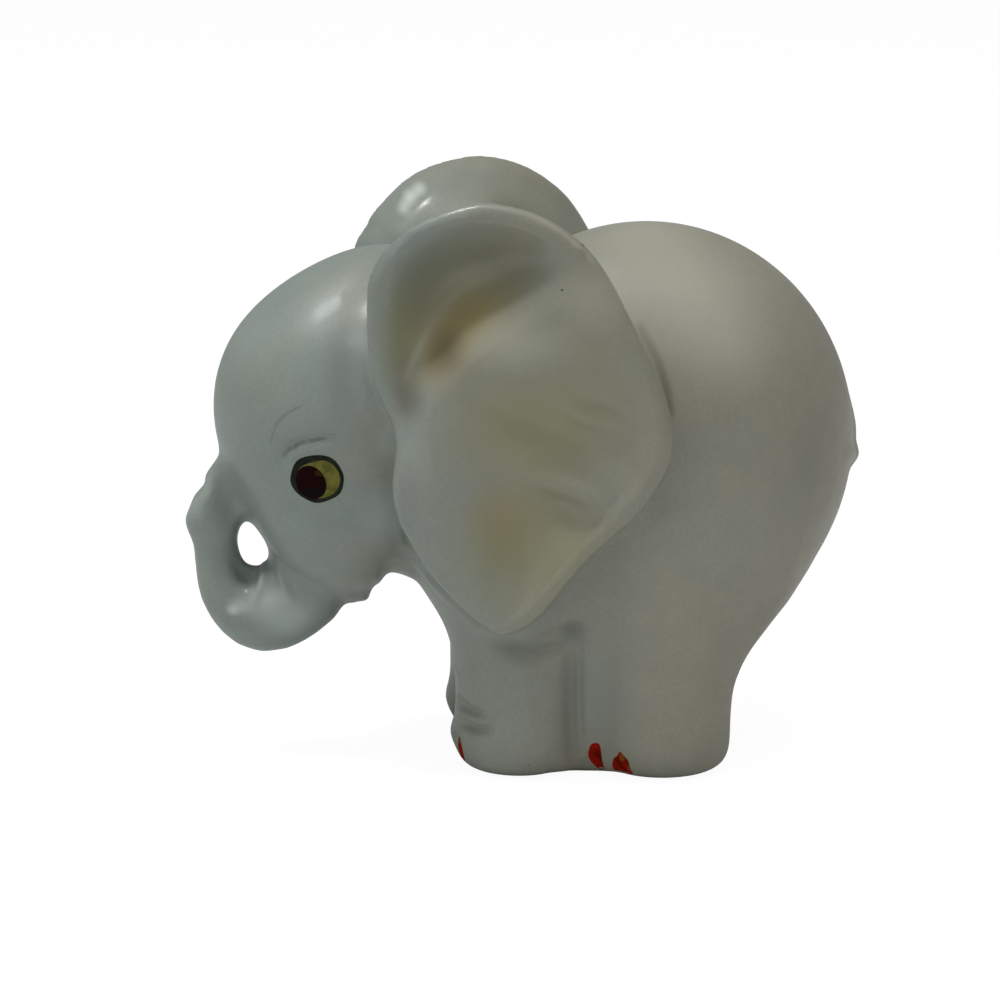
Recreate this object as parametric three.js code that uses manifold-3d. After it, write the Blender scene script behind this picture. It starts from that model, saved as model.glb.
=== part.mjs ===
// A glazed ceramic baby elephant, about 99 mm long, that stands on four short legs.
// Lengths are millimetres. +Z is up, the trunk points to -X and the elephant's left side is -Y.
import * as THREE from "three";
import { mergeVertices } from "three/addons/utils/BufferGeometryUtils.js";
import Module from "manifold-3d";

// Torso
const rumpX = 21.6;
const rumpZ = 46.9;
const rumpLength = 30.6;
const rumpHalfWidth = 25.5;
const rumpHeight = 31.6;
const chestX = 2.0;
const chestZ = 42.9;
const chestLength = 18.6;
const chestHalfWidth = 20.5;
const chestHeight = 26.5;
const torsoBlend = 8;

// Legs
const frontLegX = 2.7;
const frontLegY = 11;
const frontLegRadius = 9.6;
const hindLegX = 23.2;
const hindLegY = 12.3;
const hindLegRadius = 10.3;
const legTopZ = 38;
const legBlend = 5;
const thighBlend = 7;
const haunchX = 25.5;
const haunchY = 10.5;
const haunchZ = 34.2;
const haunchLength = 17.8;
const haunchHalfWidth = 12;
const haunchHeight = 20;
const haunchBlend = 6;
const legCoreRadius = 9;
const footEdge = 3.2;

// Casting
const wall = 3;
const seam = 0.3;
const recessRadius = 8;
const recessDepth = 0.9;
const ventRadius = 4.5;
const neckBoreRadius = 6;
const overrun = 2;

// Head
const headX = -21.6;
const headZ = 51.8;
const headRadius = 20.1;
const jawX = -22.9;
const jawZ = 34.4;
const jawLength = 10.6;
const jawHalfWidth = 14.5;
const jawHeight = 9.7;
const jawBlend = 9;
const crownX = -15.4;
const crownZ = 55.3;
const crownLength = 13.6;
const crownHalfWidth = 13.5;
const crownHeight = 19.5;
const crownBlend = 9;
const lipX = -21.6;
const lipZ = 24.5;
const lipLength = 3.4;
const lipHalfWidth = 5;
const lipHeight = 1.9;
const lipBlend = 2;
const neckBlend = 3.5;
const neckReach = 27;

// Trunk: its middle line from the mouth to the tip, and its radius on the way
const trunkRootX = -25.6;
const trunkRootZ = 28.8;
const trunkRootRadius = 6.6;
const trunkChinX = -29.7;
const trunkChinZ = 23.5;
const trunkChinRadius = 6.4;
const trunkBendX = -34.7;
const trunkBendZ = 20.8;
const trunkBendRadius = 5.9;
const trunkFrontX = -39.5;
const trunkFrontZ = 24;
const trunkFrontRadius = 4.4;
const trunkRiseX = -41.7;
const trunkRiseZ = 31.8;
const trunkRiseRadius = 3.15;
const trunkLipX = -41.8;
const trunkLipZ = 36;
const trunkLipRadius = 4.4;
const trunkTipX = -41.8;
const trunkTipZ = 44.2;
const trunkTipRadius = 3.5;
const trunkBlend = 2.2;
const nostrilX = -45.9;
const nostrilZ = 35.5;
const nostrilSlope = THREE.MathUtils.degToRad(30);

// Ears
const earX = 1.9;
const earY = 26.4;
const earZ = 54.2;
const earWidth = 43.1;
const earHeight = 62;
const earFlare = THREE.MathUtils.degToRad(12);
const earRimHalf = 1.6;
const earRootDepth = 13;
const earFoldX = 18;
const earFoldZ = -16;
const earFoldRadius = 37.7;
const earFoldSlope = 5.5;
const earBowlDepth = 4.2;
const earFoldLift = 1.2;
const earLobeLift = 1.4;
const earValleyDepth = 1;
const earPleatDepth = 0.5;

// Tail
const tailTopZ = 56.9;
const tailTipZ = 42;
const tailRadius = 1.9;
const tailTipRadius = 2.3;
const tailProud = 0.9;

// Painted enamel
const enamel = 0.25;
const eyeX = -26.6;
const eyeY = 18;
const eyeZ = 44.7;
const eyeWidth = 7.3;
const eyeHeight = 7.2;
const eyeLineWidth = 0.75;
const irisWidth = 4.3;
const irisHeight = 5;
const strokeWidth = 0.5;
const nailWidth = 2.3;
const nailHeight = 4.6;
const nailFootZ = 0.5;

// Counts of facets
const sliceSides = 46;
const sliceRings = 28;
const cavitySides = 22;
const cavityRings = 12;
const earSpokes = 52;
const headDetail = 8;
const headCavityDetail = 3;
const boreSides = 32;
const trunkRings = 22;
const trunkSides = 16;
const trunkSamples = 120;
const tailRings = 10;
const tailSides = 12;
const strokeRings = 8;
const ovalSides = 16;
const searchSteps = 48;
const halvings = 22;
const weldReach = 1e-4;

// Shape shares, as parts of the sizes above
const footRingShares = [0, 0.08, 0.3, 0.6];
const trunkReachShare = 1.7;
const nostrilBlockShares = [1, 4, 6];
const tailEndShare = 0.12;
const tailProudShare = 0.7;
const patchRingShare = 0.5;
const strokeEndShare = 0.4;
const nailMiddleShare = 0.42;
const earOutlineShares = [
  [-0.14, 0.5], [0.0, 0.49], [0.115, 0.458], [0.25, 0.38], [0.393, 0.2], [0.477, 0.074],
  [0.51, -0.053], [0.465, -0.135], [0.39, -0.21], [0.25, -0.3], [0.155, -0.378],
  [0.06, -0.462], [-0.03, -0.5], [-0.11, -0.486], [-0.25, -0.4], [-0.34, -0.32],
  [-0.4, -0.24], [-0.417, -0.145], [-0.407, -0.053], [-0.49, 0.085], [-0.51, 0.22],
  [-0.5, 0.335], [-0.415, 0.412], [-0.295, 0.466],
];
const earCentreShare = [-0.02, 0];
const earRimShares = [0.78, 0.92, 0.985];
const earHollowTailShares = [-0.1, 0.22];
const earHollowFrontShares = [-0.52, -0.3];
const earHollowEndShares = [0.04, 0.34];
const earFoldRingShare = 0.66;
const earFoldLimitShare = 0.8;
const earFrontShares = [0.13, 0.26, 0.38, 0.49, 0.58, 0.66, 0.74, 0.81, 0.87, 0.92, 0.96];
const earBackShares = [0.93, 0.78, 0.5];
const earRootShares = [0.88, 0.5];
const earFreeShares = [-0.3, 0.1];

const glaze = { color: 0xb4bab0, roughness: 0.35, metalness: 0 };

const wasm = await Module();
wasm.setup();

// Fields: negative inside a form, zero on its surface and about the distance outside it
function ellipsoid(x, y, z, length, width, height) {
  return (p) => {
    const a = Math.hypot((p.x - x) / length, (p.y - y) / width, (p.z - z) / height);
    const b = Math.hypot(
      (p.x - x) / length ** 2,
      (p.y - y) / width ** 2,
      (p.z - z) / height ** 2,
    );
    return b === 0 ? -Math.min(length, width, height) : (a * (a - 1)) / b;
  };
}

function melt(a, b, blend) {
  const share = Math.max(blend - Math.abs(a - b), 0) / blend;
  return Math.min(a, b) - (share ** 2 * blend) / 4;
}

function footInset(z) {
  if (z >= footEdge) return 0;
  return footEdge - Math.sqrt(footEdge ** 2 - (footEdge - Math.max(z, 0)) ** 2);
}

function leg(x, y, radius) {
  return (p) => Math.max(
    Math.hypot(p.x - x, p.y - y) - radius + footInset(p.z),
    p.z - legTopZ,
  );
}

const rump = ellipsoid(rumpX, 0, rumpZ, rumpLength, rumpHalfWidth, rumpHeight);
const chest = ellipsoid(chestX, 0, chestZ, chestLength, chestHalfWidth, chestHeight);
const frontLegs = [-1, 1].map((side) => leg(frontLegX, side * frontLegY, frontLegRadius));
const footX = (frontLegX + hindLegX) / 2;
const legCore = leg(footX, 0, legCoreRadius);
const hindLegs = [-1, 1].map((side) => leg(hindLegX, side * hindLegY, hindLegRadius));
const haunches = [-1, 1].map((side) => ellipsoid(
  haunchX,
  side * haunchY,
  haunchZ,
  haunchLength,
  haunchHalfWidth,
  haunchHeight,
));

function bodyField(p) {
  const haunch = Math.min(haunches[0](p), haunches[1](p));
  const torso = melt(melt(rump(p), haunch, haunchBlend), chest(p), torsoBlend);
  const front = melt(frontLegs[0](p), frontLegs[1](p), legBlend);
  const hind = melt(hindLegs[0](p), hindLegs[1](p), legBlend);
  const legs = melt(melt(front, hind, legBlend), legCore(p), legBlend);
  return melt(torso, legs, thighBlend);
}

const skull = ellipsoid(headX, 0, headZ, headRadius, headRadius, headRadius);
const jaw = ellipsoid(jawX, 0, jawZ, jawLength, jawHalfWidth, jawHeight);
const crown = ellipsoid(crownX, 0, crownZ, crownLength, crownHalfWidth, crownHeight);
const lip = ellipsoid(lipX, 0, lipZ, lipLength, lipHalfWidth, lipHeight);

function faceField(p) {
  const ball = melt(skull(p), crown(p), crownBlend);
  return melt(melt(ball, jaw(p), jawBlend), lip(p), lipBlend);
}

function headField(p) {
  return melt(faceField(p), bodyField(p), neckBlend);
}

// How far the surface at this level of a field lies from a point, looking inwards from the reach
function surfaceDistance(field, level, from, direction, reach) {
  const p = new THREE.Vector3();
  const at = (t) => field(p.copy(direction).multiplyScalar(t).add(from)) - level;
  let outside = reach;
  if (at(reach) < 0) return reach;
  let inside = 0;
  for (let i = searchSteps - 1; i > 0; i -= 1) {
    const t = (reach * i) / searchSteps;
    if (at(t) < 0) {
      inside = t;
      break;
    }
    outside = t;
  }
  for (let i = 0; i < halvings; i += 1) {
    const middle = (inside + outside) / 2;
    if (at(middle) < 0) inside = middle;
    else outside = middle;
  }
  return (inside + outside) / 2;
}

// Solids
function solidOf(points, faces) {
  const geometry = new THREE.BufferGeometry();
  geometry.setAttribute("position", new THREE.Float32BufferAttribute(points.flat(), 3));
  geometry.setIndex(faces.flat());
  return toSolid(geometry);
}

function toSolid(source) {
  const bare = source.clone();
  bare.deleteAttribute("normal");
  bare.deleteAttribute("uv");
  const merged = mergeVertices(bare, weldReach);
  const position = merged.getAttribute("position");
  const index = Array.from(merged.index.array);
  const a = new THREE.Vector3();
  const b = new THREE.Vector3();
  const c = new THREE.Vector3();
  let volume = 0;
  const triangles = [];
  for (let i = 0; i < index.length; i += 3) {
    const [j, k, l] = index.slice(i, i + 3);
    if (j === k || k === l || l === j) continue;
    a.fromBufferAttribute(position, j);
    b.fromBufferAttribute(position, k);
    c.fromBufferAttribute(position, l);
    volume += a.dot(b.cross(c));
    triangles.push(j, k, l);
  }
  if (volume < 0) triangles.reverse();
  return new wasm.Manifold(new wasm.Mesh({
    numProp: 3,
    vertProperties: Float32Array.from(position.array),
    triVerts: Uint32Array.from(triangles),
  }));
}

function toMesh(name, solid, finish) {
  const { vertProperties, triVerts } = solid.getMesh();
  const geometry = new THREE.BufferGeometry();
  geometry.setAttribute("position", new THREE.BufferAttribute(vertProperties, 3));
  geometry.setIndex(new THREE.BufferAttribute(triVerts, 1));
  geometry.computeVertexNormals();
  const mesh = new THREE.Mesh(geometry, new THREE.MeshStandardMaterial(finish));
  mesh.name = name;
  return mesh;
}

// A closed solid through rings of equal length, with a point that closes each end
function ringSolid(rings, first, last) {
  const sides = rings[0].length;
  const points = [first, ...rings.flat(), last];
  const faces = [];
  const at = (ring, side) => 1 + ring * sides + (side % sides);
  for (let i = 0; i < sides; i += 1) {
    faces.push([0, at(0, i + 1), at(0, i)]);
    for (let ring = 0; ring < rings.length - 1; ring += 1) {
      faces.push([at(ring, i), at(ring, i + 1), at(ring + 1, i)]);
      faces.push([at(ring, i + 1), at(ring + 1, i + 1), at(ring + 1, i)]);
    }
    faces.push([points.length - 1, at(rings.length - 1, i), at(rings.length - 1, i + 1)]);
  }
  return solidOf(points, faces);
}

// Torso and legs, as level slices around a line that leans back from the feet to the rump
function sliceCentre(z, topZ) {
  return footX + (rumpX - footX) * Math.min(z / topZ, 1);
}

function slice(z, centreX, level, sides) {
  const from = new THREE.Vector3(centreX, 0, z);
  const reach = 2 * rumpLength;
  return Array.from({ length: sides }, (_, i) => {
    const angle = (2 * Math.PI * i) / sides;
    const direction = new THREE.Vector3(Math.cos(angle), Math.sin(angle), 0);
    const radius = surfaceDistance(bodyField, level, from, direction, reach);
    return [centreX + radius * direction.x, radius * direction.y, z];
  });
}

function bodySolid(level, floorZ, sides, rings) {
  const middle = new THREE.Vector3(rumpX, 0, rumpZ);
  const up = new THREE.Vector3(0, 0, 1);
  const topZ = rumpZ + surfaceDistance(bodyField, level, middle, up, 2 * rumpHeight);
  const startZ = Math.max(floorZ, 0) + footEdge;
  const heights = footRingShares.map((share) => floorZ + share * (startZ - floorZ));
  for (let i = 0; i < rings; i += 1) {
    heights.push(startZ + (topZ - startZ) * Math.sin((Math.PI / 2) * (i / rings)));
  }
  const stack = heights.map((z) => slice(z, sliceCentre(z, topZ), level, sides));
  return ringSolid(stack, [footX, 0, floorZ], [rumpX, 0, topZ]);
}

function cylinder(radius, start, end) {
  const along = end.clone().sub(start);
  const geometry = new THREE.CylinderGeometry(radius, radius, along.length(), boreSides);
  geometry.applyQuaternion(new THREE.Quaternion().setFromUnitVectors(
    new THREE.Vector3(0, 1, 0),
    along.clone().normalize(),
  ));
  geometry.translate(...start.clone().add(end).divideScalar(2).toArray());
  return toSolid(geometry);
}

const bodyCutter = bodySolid(seam, -overrun, sliceSides, sliceRings);

function makeBodyShell() {
  const vent = cylinder(
    ventRadius,
    new THREE.Vector3(footX, 0, -overrun),
    new THREE.Vector3(footX, 0, wall + recessDepth + overrun),
  );
  const neckBore = cylinder(
    neckBoreRadius,
    new THREE.Vector3(headX, 0, headZ),
    new THREE.Vector3(chestX, 0, headZ),
  );
  const recess = cylinder(
    recessRadius,
    new THREE.Vector3(footX, 0, -overrun),
    new THREE.Vector3(footX, 0, recessDepth),
  );
  return bodySolid(0, 0, sliceSides, sliceRings)
    .subtract(bodySolid(-wall, wall + recessDepth, cavitySides, cavityRings))
    .subtract(recess)
    .subtract(vent)
    .subtract(neckBore);
}

// Head
const headCentre = new THREE.Vector3(headX, 0, headZ);

function headWrap(level, detail) {
  const ball = new THREE.IcosahedronGeometry(1, detail);
  const position = ball.getAttribute("position");
  const direction = new THREE.Vector3();
  for (let i = 0; i < position.count; i += 1) {
    direction.fromBufferAttribute(position, i).normalize();
    const distance = surfaceDistance(headField, level, headCentre, direction, neckReach + level);
    direction.multiplyScalar(distance).add(headCentre);
    position.setXYZ(i, direction.x, direction.y, direction.z);
  }
  return toSolid(ball);
}

const headCutter = headWrap(seam, headDetail);

function makeHeadShell() {
  return headWrap(0, headDetail)
    .subtract(bodyCutter)
    .subtract(headWrap(-wall, headCavityDetail));
}

// Trunk
function makeTrunk() {
  const stations = [
    [trunkRootX, trunkRootZ, trunkRootRadius],
    [trunkChinX, trunkChinZ, trunkChinRadius],
    [trunkBendX, trunkBendZ, trunkBendRadius],
    [trunkFrontX, trunkFrontZ, trunkFrontRadius],
    [trunkRiseX, trunkRiseZ, trunkRiseRadius],
    [trunkLipX, trunkLipZ, trunkLipRadius],
    [trunkTipX, trunkTipZ, trunkTipRadius],
  ];
  const line = new THREE.CatmullRomCurve3(
    stations.map(([x, z]) => new THREE.Vector3(x, 0, z)),
    false,
    "centripetal",
  );
  const radii = new THREE.CatmullRomCurve3(
    stations.map(([, , radius], i) => new THREE.Vector3(i, radius, 0)),
  );
  const samples = Array.from({ length: trunkSamples + 1 }, (_, i) => {
    const t = i / trunkSamples;
    return { at: line.getPoint(t), radius: radii.getPoint(t).y };
  });
  const field = (p) => {
    let nearest = Infinity;
    for (const sample of samples) {
      nearest = Math.min(nearest, p.distanceTo(sample.at) - sample.radius);
    }
    return melt(nearest, faceField(p), trunkBlend);
  };
  const side = new THREE.Vector3(0, 1, 0);
  const rings = Array.from({ length: trunkRings }, (_, i) => {
    const t = i / (trunkRings - 1);
    const centre = line.getPoint(t);
    const out = side.clone().cross(line.getTangent(t)).normalize();
    return Array.from({ length: trunkSides }, (_, j) => {
      const angle = (2 * Math.PI * j) / trunkSides;
      const direction = out.clone().multiplyScalar(Math.cos(angle));
      direction.addScaledVector(side, Math.sin(angle));
      const reach = trunkReachShare * radii.getPoint(t).y;
      const distance = surfaceDistance(field, 0, centre, direction, reach);
      return centre.clone().addScaledVector(direction, distance).toArray();
    });
  });
  const first = line.getPoint(0);
  const last = line.getPoint(1);
  first.addScaledVector(line.getTangent(0), -trunkRootRadius / 2);
  last.addScaledVector(line.getTangent(1), trunkTipRadius / 2);
  const blockSizes = nostrilBlockShares.map((share) => share * trunkBendRadius);
  const block = new THREE.BoxGeometry(...blockSizes);
  block.translate(-blockSizes[0] / 2, 0, 0);
  block.rotateY(nostrilSlope);
  block.translate(nostrilX, 0, nostrilZ);
  return ringSolid(rings, first.toArray(), last.toArray())
    .subtract(toSolid(block))
    .subtract(headCutter);
}

// Ears
function smooth(from, to, value) {
  const share = THREE.MathUtils.clamp((value - from) / (to - from), 0, 1);
  return share * share * (3 - 2 * share);
}

// Places in the ear: centre, reach and turn of each swelling or dip
const lobeShares = [
  [-0.22, -0.22, 0.18, 0.26, 0],
  [0.1, 0.1, 0.3, 0.12, 0.5],
];
const valleyShares = [
  [0.05, -0.03, 0.12, 0.12, 0.4],
  [-0.02, -0.25, 0.1, 0.12, 0.3],
];
const pleatShares = [
  [0.25, -0.04, 0.14, 0.03, 0.1],
  [0.2, -0.24, 0.14, 0.03, -0.5],
];

function bump(p, q, [centreP, centreQ, reachP, reachQ, turn]) {
  const dp = p - centreP;
  const dq = q - centreQ;
  const along = (dp * Math.cos(turn) + dq * Math.sin(turn)) / reachP;
  const across = (dq * Math.cos(turn) - dp * Math.sin(turn)) / reachQ;
  return Math.exp(-(along ** 2) - across ** 2);
}

function bumps(p, q, table) {
  return table.reduce((total, shares) => total + bump(p, q, shares), 0);
}

// The hollow of the ear lies in front of a fold that runs as an arc, and the lobe swells behind it
function earRelief(p, q) {
  const behindFold = earFoldRadius
    - Math.hypot(p * earWidth - earFoldX, q * earHeight - earFoldZ);
  const hollow = 1 - smooth(-earFoldSlope, 0, behindFold);
  const fading = smooth(...earHollowFrontShares, p) * (1 - smooth(...earHollowEndShares, p));
  const crest = Math.exp(-((behindFold / earFoldSlope - 1) ** 2) / 4);
  const running = smooth(...earHollowTailShares, q);
  return -earBowlDepth * hollow * fading * running
    + earFoldLift * (1 - hollow) * crest
    + earLobeLift * (1 - hollow) * bumps(p, q, lobeShares)
    - earValleyDepth * bumps(p, q, valleyShares)
    - earPleatDepth * bumps(p, q, pleatShares);
}

// How far out along a spoke, as a share, the fold crosses it
function foldShare([p, q], [edgeP, edgeQ]) {
  const u = p * earWidth - earFoldX;
  const v = q * earHeight - earFoldZ;
  const du = (edgeP - p) * earWidth;
  const dv = (edgeQ - q) * earHeight;
  const a = du * du + dv * dv;
  const b = u * du + v * dv;
  const c = u * u + v * v - earFoldRadius ** 2;
  return Math.min((Math.sqrt(b * b - a * c) - b) / a, earFoldLimitShare);
}

// The rings of the front are drawn in or out along each spoke, so that one of them runs on the fold
function bentShare(share, fold) {
  if (share < earFoldRingShare) return (share * fold) / earFoldRingShare;
  return fold + ((share - earFoldRingShare) * (1 - fold)) / (1 - earFoldRingShare);
}

function earPlace(side, p, q, lift) {
  const across = p * earWidth;
  return [
    earX + across * Math.cos(earFlare) - lift * Math.sin(earFlare),
    side * (earY + across * Math.sin(earFlare) + lift * Math.cos(earFlare)),
    earZ + q * earHeight,
  ];
}

function earFrontLift(p, q, share) {
  const toRim = smooth(earRimShares[0], earRimShares[1], share);
  return (1 - toRim) * earRelief(p, q) + toRim * earRimHalf;
}

// The back reaches far in near the edge, except at the free edge to the rear and above
function earBackLift(p, q, share) {
  const free = smooth(...earFreeShares, p) * smooth(...earFreeShares, q);
  const root = earRootShares[0] + (earRootShares[1] - earRootShares[0]) * free;
  return -earRimHalf - (earRootDepth - earRimHalf) * (1 - smooth(root, 1, share));
}

function makeEar(side) {
  const outline = new THREE.CatmullRomCurve3(
    earOutlineShares.map(([p, q]) => new THREE.Vector3(p, q, 0)),
    true,
    "centripetal",
  );
  const spokes = outline.getSpacedPoints(earSpokes).slice(0, earSpokes).map((edge) => {
    const fold = foldShare(earCentreShare, [edge.x, edge.y]);
    return (share, bent, liftAt) => {
      const out = bent ? bentShare(share, fold) : share;
      const p = earCentreShare[0] + out * (edge.x - earCentreShare[0]);
      const q = earCentreShare[1] + out * (edge.y - earCentreShare[1]);
      return earPlace(side, p, q, liftAt(p, q, out));
    };
  });
  const ring = (share, bent, liftAt) => spokes.map((spoke) => spoke(share, bent, liftAt));
  const edgeLift = earRimHalf * Math.SQRT1_2;
  const rings = [
    ...earFrontShares.map((share) => ring(share, true, earFrontLift)),
    ring(earRimShares[2], false, () => edgeLift),
    ring(1, false, () => 0),
    ring(earRimShares[2], false, () => -edgeLift),
    ...earBackShares.map((share) => ring(share, false, earBackLift)),
  ];
  const [p, q] = earCentreShare;
  return ringSolid(
    rings,
    earPlace(side, p, q, earFrontLift(p, q, 0)),
    earPlace(side, p, q, earBackLift(p, q, 0)),
  )
    .subtract(headCutter)
    .subtract(bodyCutter);
}

// Tail
function makeTail() {
  const rings = Array.from({ length: tailRings }, (_, i) => {
    const t = i / (tailRings - 1);
    const z = tailTopZ + (tailTipZ - tailTopZ) * t;
    const from = new THREE.Vector3(rumpX, 0, z);
    const back = new THREE.Vector3(1, 0, 0);
    const x = rumpX + surfaceDistance(bodyField, 0, from, back, 2 * rumpLength);
    const taper = Math.sqrt(Math.sin(Math.PI * (tailEndShare + (1 - 2 * tailEndShare) * t)));
    const radius = (tailRadius + (tailTipRadius - tailRadius) * t) * taper;
    const proud = tailProud * smooth(0, tailProudShare, t);
    return Array.from({ length: tailSides }, (_, j) => {
      const angle = (2 * Math.PI * j) / tailSides;
      return [
        x - radius + proud + radius * Math.cos(angle),
        radius * Math.sin(angle),
        z,
      ];
    });
  });
  const end = (ring, z) => [ring[0][0] - tailRadius, 0, z];
  return ringSolid(
    rings,
    end(rings[0], tailTopZ + tailRadius / 2),
    end(rings[tailRings - 1], tailTipZ - tailRadius / 2),
  ).subtract(bodyCutter);
}

// Painted enamel: thin raised patches that lie over the glaze
const flameShares = [
  [0.32, -0.42], [0.5, -0.2], [0.3, 0.24], [0.06, 0.58], [-0.2, 0.36], [-0.46, 0],
  [-0.4, -0.36],
];

function ovalShares(sides) {
  return Array.from({ length: sides }, (_, i) => {
    const angle = (2 * Math.PI * i) / sides;
    return [Math.cos(angle) / 2, Math.sin(angle) / 2];
  });
}

// A patch over the surface that project finds for a place across and up and a height above it
function patch(outlineShares, width, height, [across, up], low, high, project) {
  const ring = (share, lift) => outlineShares.map(([a, b]) => project(
    across + a * width * share,
    up + b * height * share,
    lift,
  ));
  const rings = [ring(patchRingShare, high), ring(1, high), ring(1, low)];
  return ringSolid(rings, project(across, up, high), project(across, up, low));
}

function onHead(side) {
  const eye = new THREE.Vector3(eyeX - headX, side * eyeY, eyeZ - headZ);
  const radius = eye.length();
  const outward = eye.normalize();
  const acrossWay = new THREE.Vector3(0, 0, 1).cross(outward).normalize().multiplyScalar(-side);
  const upWay = new THREE.Vector3(1, 0, 0).cross(outward).normalize().multiplyScalar(side);
  return (across, up, lift) => {
    const direction = outward.clone().multiplyScalar(radius);
    direction.addScaledVector(acrossWay, across).addScaledVector(upWay, up).normalize();
    const distance = surfaceDistance(headField, lift, headCentre, direction, neckReach);
    return direction.multiplyScalar(distance).add(headCentre).toArray();
  };
}

function makeEye(side) {
  const project = onHead(side);
  const oval = ovalShares(ovalSides);
  const innerWidth = eyeWidth - 2 * eyeLineWidth;
  const innerHeight = eyeHeight - 2 * eyeLineWidth;
  const disc = (width, height, place, low, high) => (
    patch(oval, width, height, place, low, high, project)
  );
  const top = seam + enamel;
  const middle = [0, 0];
  const irisPlace = [(irisWidth - innerWidth) / 2, (irisHeight - innerHeight) / 2];
  const tall = [0, 2 * top];
  const line = disc(eyeWidth, eyeHeight, middle, seam / 2, top)
    .subtract(disc(innerWidth, innerHeight, middle, ...tall))
    .subtract(headCutter);
  const inside = disc(innerWidth - seam, innerHeight - seam, middle, seam / 2, top)
    .subtract(headCutter);
  const iris = disc(irisWidth, irisHeight, irisPlace, ...tall).intersect(inside);
  const white = inside.subtract(
    disc(irisWidth + seam, irisHeight + seam, irisPlace, ...tall),
  );
  return { line, white, iris };
}

// A brush stroke along places across and up from the eye, widest in its middle
function stroke(placeShares, side) {
  const project = onHead(side);
  const curve = new THREE.CatmullRomCurve3(
    placeShares.map(([a, b]) => new THREE.Vector3(a * eyeWidth, b * eyeHeight, 0)),
  );
  const rings = Array.from({ length: strokeRings }, (_, i) => {
    const t = i / (strokeRings - 1);
    const at = curve.getPoint(t);
    const along = curve.getTangent(t);
    const swell = strokeEndShare + (1 - strokeEndShare) * Math.sin(Math.PI * t);
    const half = (strokeWidth / 2) * swell;
    const corner = (sign, lift) => project(
      at.x - sign * half * along.y,
      at.y + sign * half * along.x,
      lift,
    );
    return [
      corner(1, seam / 2),
      corner(1, seam + enamel),
      corner(-1, seam + enamel),
      corner(-1, seam / 2),
    ];
  });
  const middle = (ring) => [0, 1, 2].map((i) => (ring[0][i] + ring[2][i]) / 2);
  return ringSolid(rings, middle(rings[0]), middle(rings[strokeRings - 1])).subtract(headCutter);
}

// Brow and upper lid, as places across and up in eye widths and heights
const browShares = [[-1, 0.55], [-0.94, 0.95], [-0.72, 1.27], [-0.42, 1.48]];
const lidShares = [[-0.76, 0.36], [-0.5, 0.62], [-0.14, 0.78], [0.24, 0.82]];

// One toenail on the leg that stands at x and y, turned from the side towards the front
function makeNail(x, y, radius, side, turn) {
  const reach = radius + legBlend / 2;
  const project = (across, up, lift) => {
    const z = nailFootZ + up;
    const from = new THREE.Vector3(x, side * y, z);
    const angle = turn - across / radius;
    const direction = new THREE.Vector3(-Math.sin(angle), side * Math.cos(angle), 0);
    const distance = surfaceDistance(bodyField, lift, from, direction, reach);
    return from.addScaledVector(direction, distance).toArray();
  };
  const middle = [0, nailMiddleShare * nailHeight];
  return patch(flameShares, nailWidth, nailHeight, middle, seam / 2, seam + enamel, project)
    .subtract(bodyCutter);
}

const ink = { color: 0x20291f, roughness: 0.4, metalness: 0 };
const cream = { color: 0xcfc98a, roughness: 0.3, metalness: 0 };
const maroon = { color: 0x3a0d0a, roughness: 0.25, metalness: 0 };
const slate = { color: 0x6d746c, roughness: 0.5, metalness: 0 };
const vermilion = { color: 0xa8240c, roughness: 0.45, metalness: 0 };

const figure = new THREE.Group();
figure.add(toMesh("body_shell", makeBodyShell(), glaze));
figure.add(toMesh("head_shell", makeHeadShell(), glaze));
figure.add(toMesh("trunk", makeTrunk(), glaze));
figure.add(toMesh("tail", makeTail(), glaze));

const nailTurns = {
  front: [frontLegX, frontLegY, frontLegRadius, [71]],
  hind: [hindLegX, hindLegY, hindLegRadius, [41, 56]],
};
for (const [word, side] of [["left", -1], ["right", 1]]) {
  figure.add(toMesh(`${word}_ear`, makeEar(side), glaze));
  const eye = makeEye(side);
  figure.add(toMesh(`${word}_eye_line`, eye.line, ink));
  figure.add(toMesh(`${word}_eye_white`, eye.white, cream));
  figure.add(toMesh(`${word}_iris`, eye.iris, maroon));
  figure.add(toMesh(`${word}_brow`, stroke(browShares, side), slate));
  figure.add(toMesh(`${word}_eyelid`, stroke(lidShares, side), slate));
  for (const [end, [x, y, radius, turns]] of Object.entries(nailTurns)) {
    turns.forEach((turn, i) => {
      const nail = makeNail(x, y, radius, side, THREE.MathUtils.degToRad(turn));
      figure.add(toMesh(`${word}_${end}_toenail_${i + 1}`, nail, vermilion));
    });
  }
}

const bounds = new THREE.Box3().setFromObject(figure);
figure.position.set(-(bounds.min.x + bounds.max.x) / 2, -(bounds.min.y + bounds.max.y) / 2, 0);

export default figure;
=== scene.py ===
import bpy
import math
import numpy as np
from mathutils import Matrix, Vector
from mathutils.bvhtree import BVHTree


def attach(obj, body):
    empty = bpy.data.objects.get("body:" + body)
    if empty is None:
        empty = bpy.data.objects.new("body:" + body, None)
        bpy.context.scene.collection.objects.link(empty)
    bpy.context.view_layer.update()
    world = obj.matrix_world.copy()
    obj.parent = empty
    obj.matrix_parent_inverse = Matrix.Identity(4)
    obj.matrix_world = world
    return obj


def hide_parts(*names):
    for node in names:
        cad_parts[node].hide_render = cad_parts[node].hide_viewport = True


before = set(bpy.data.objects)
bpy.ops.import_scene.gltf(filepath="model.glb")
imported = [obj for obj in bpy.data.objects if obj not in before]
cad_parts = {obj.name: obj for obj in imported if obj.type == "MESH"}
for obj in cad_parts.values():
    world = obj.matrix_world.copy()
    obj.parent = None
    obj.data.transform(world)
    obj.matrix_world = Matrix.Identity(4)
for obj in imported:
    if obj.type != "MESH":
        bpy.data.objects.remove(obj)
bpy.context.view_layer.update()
mm = 0.001
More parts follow.
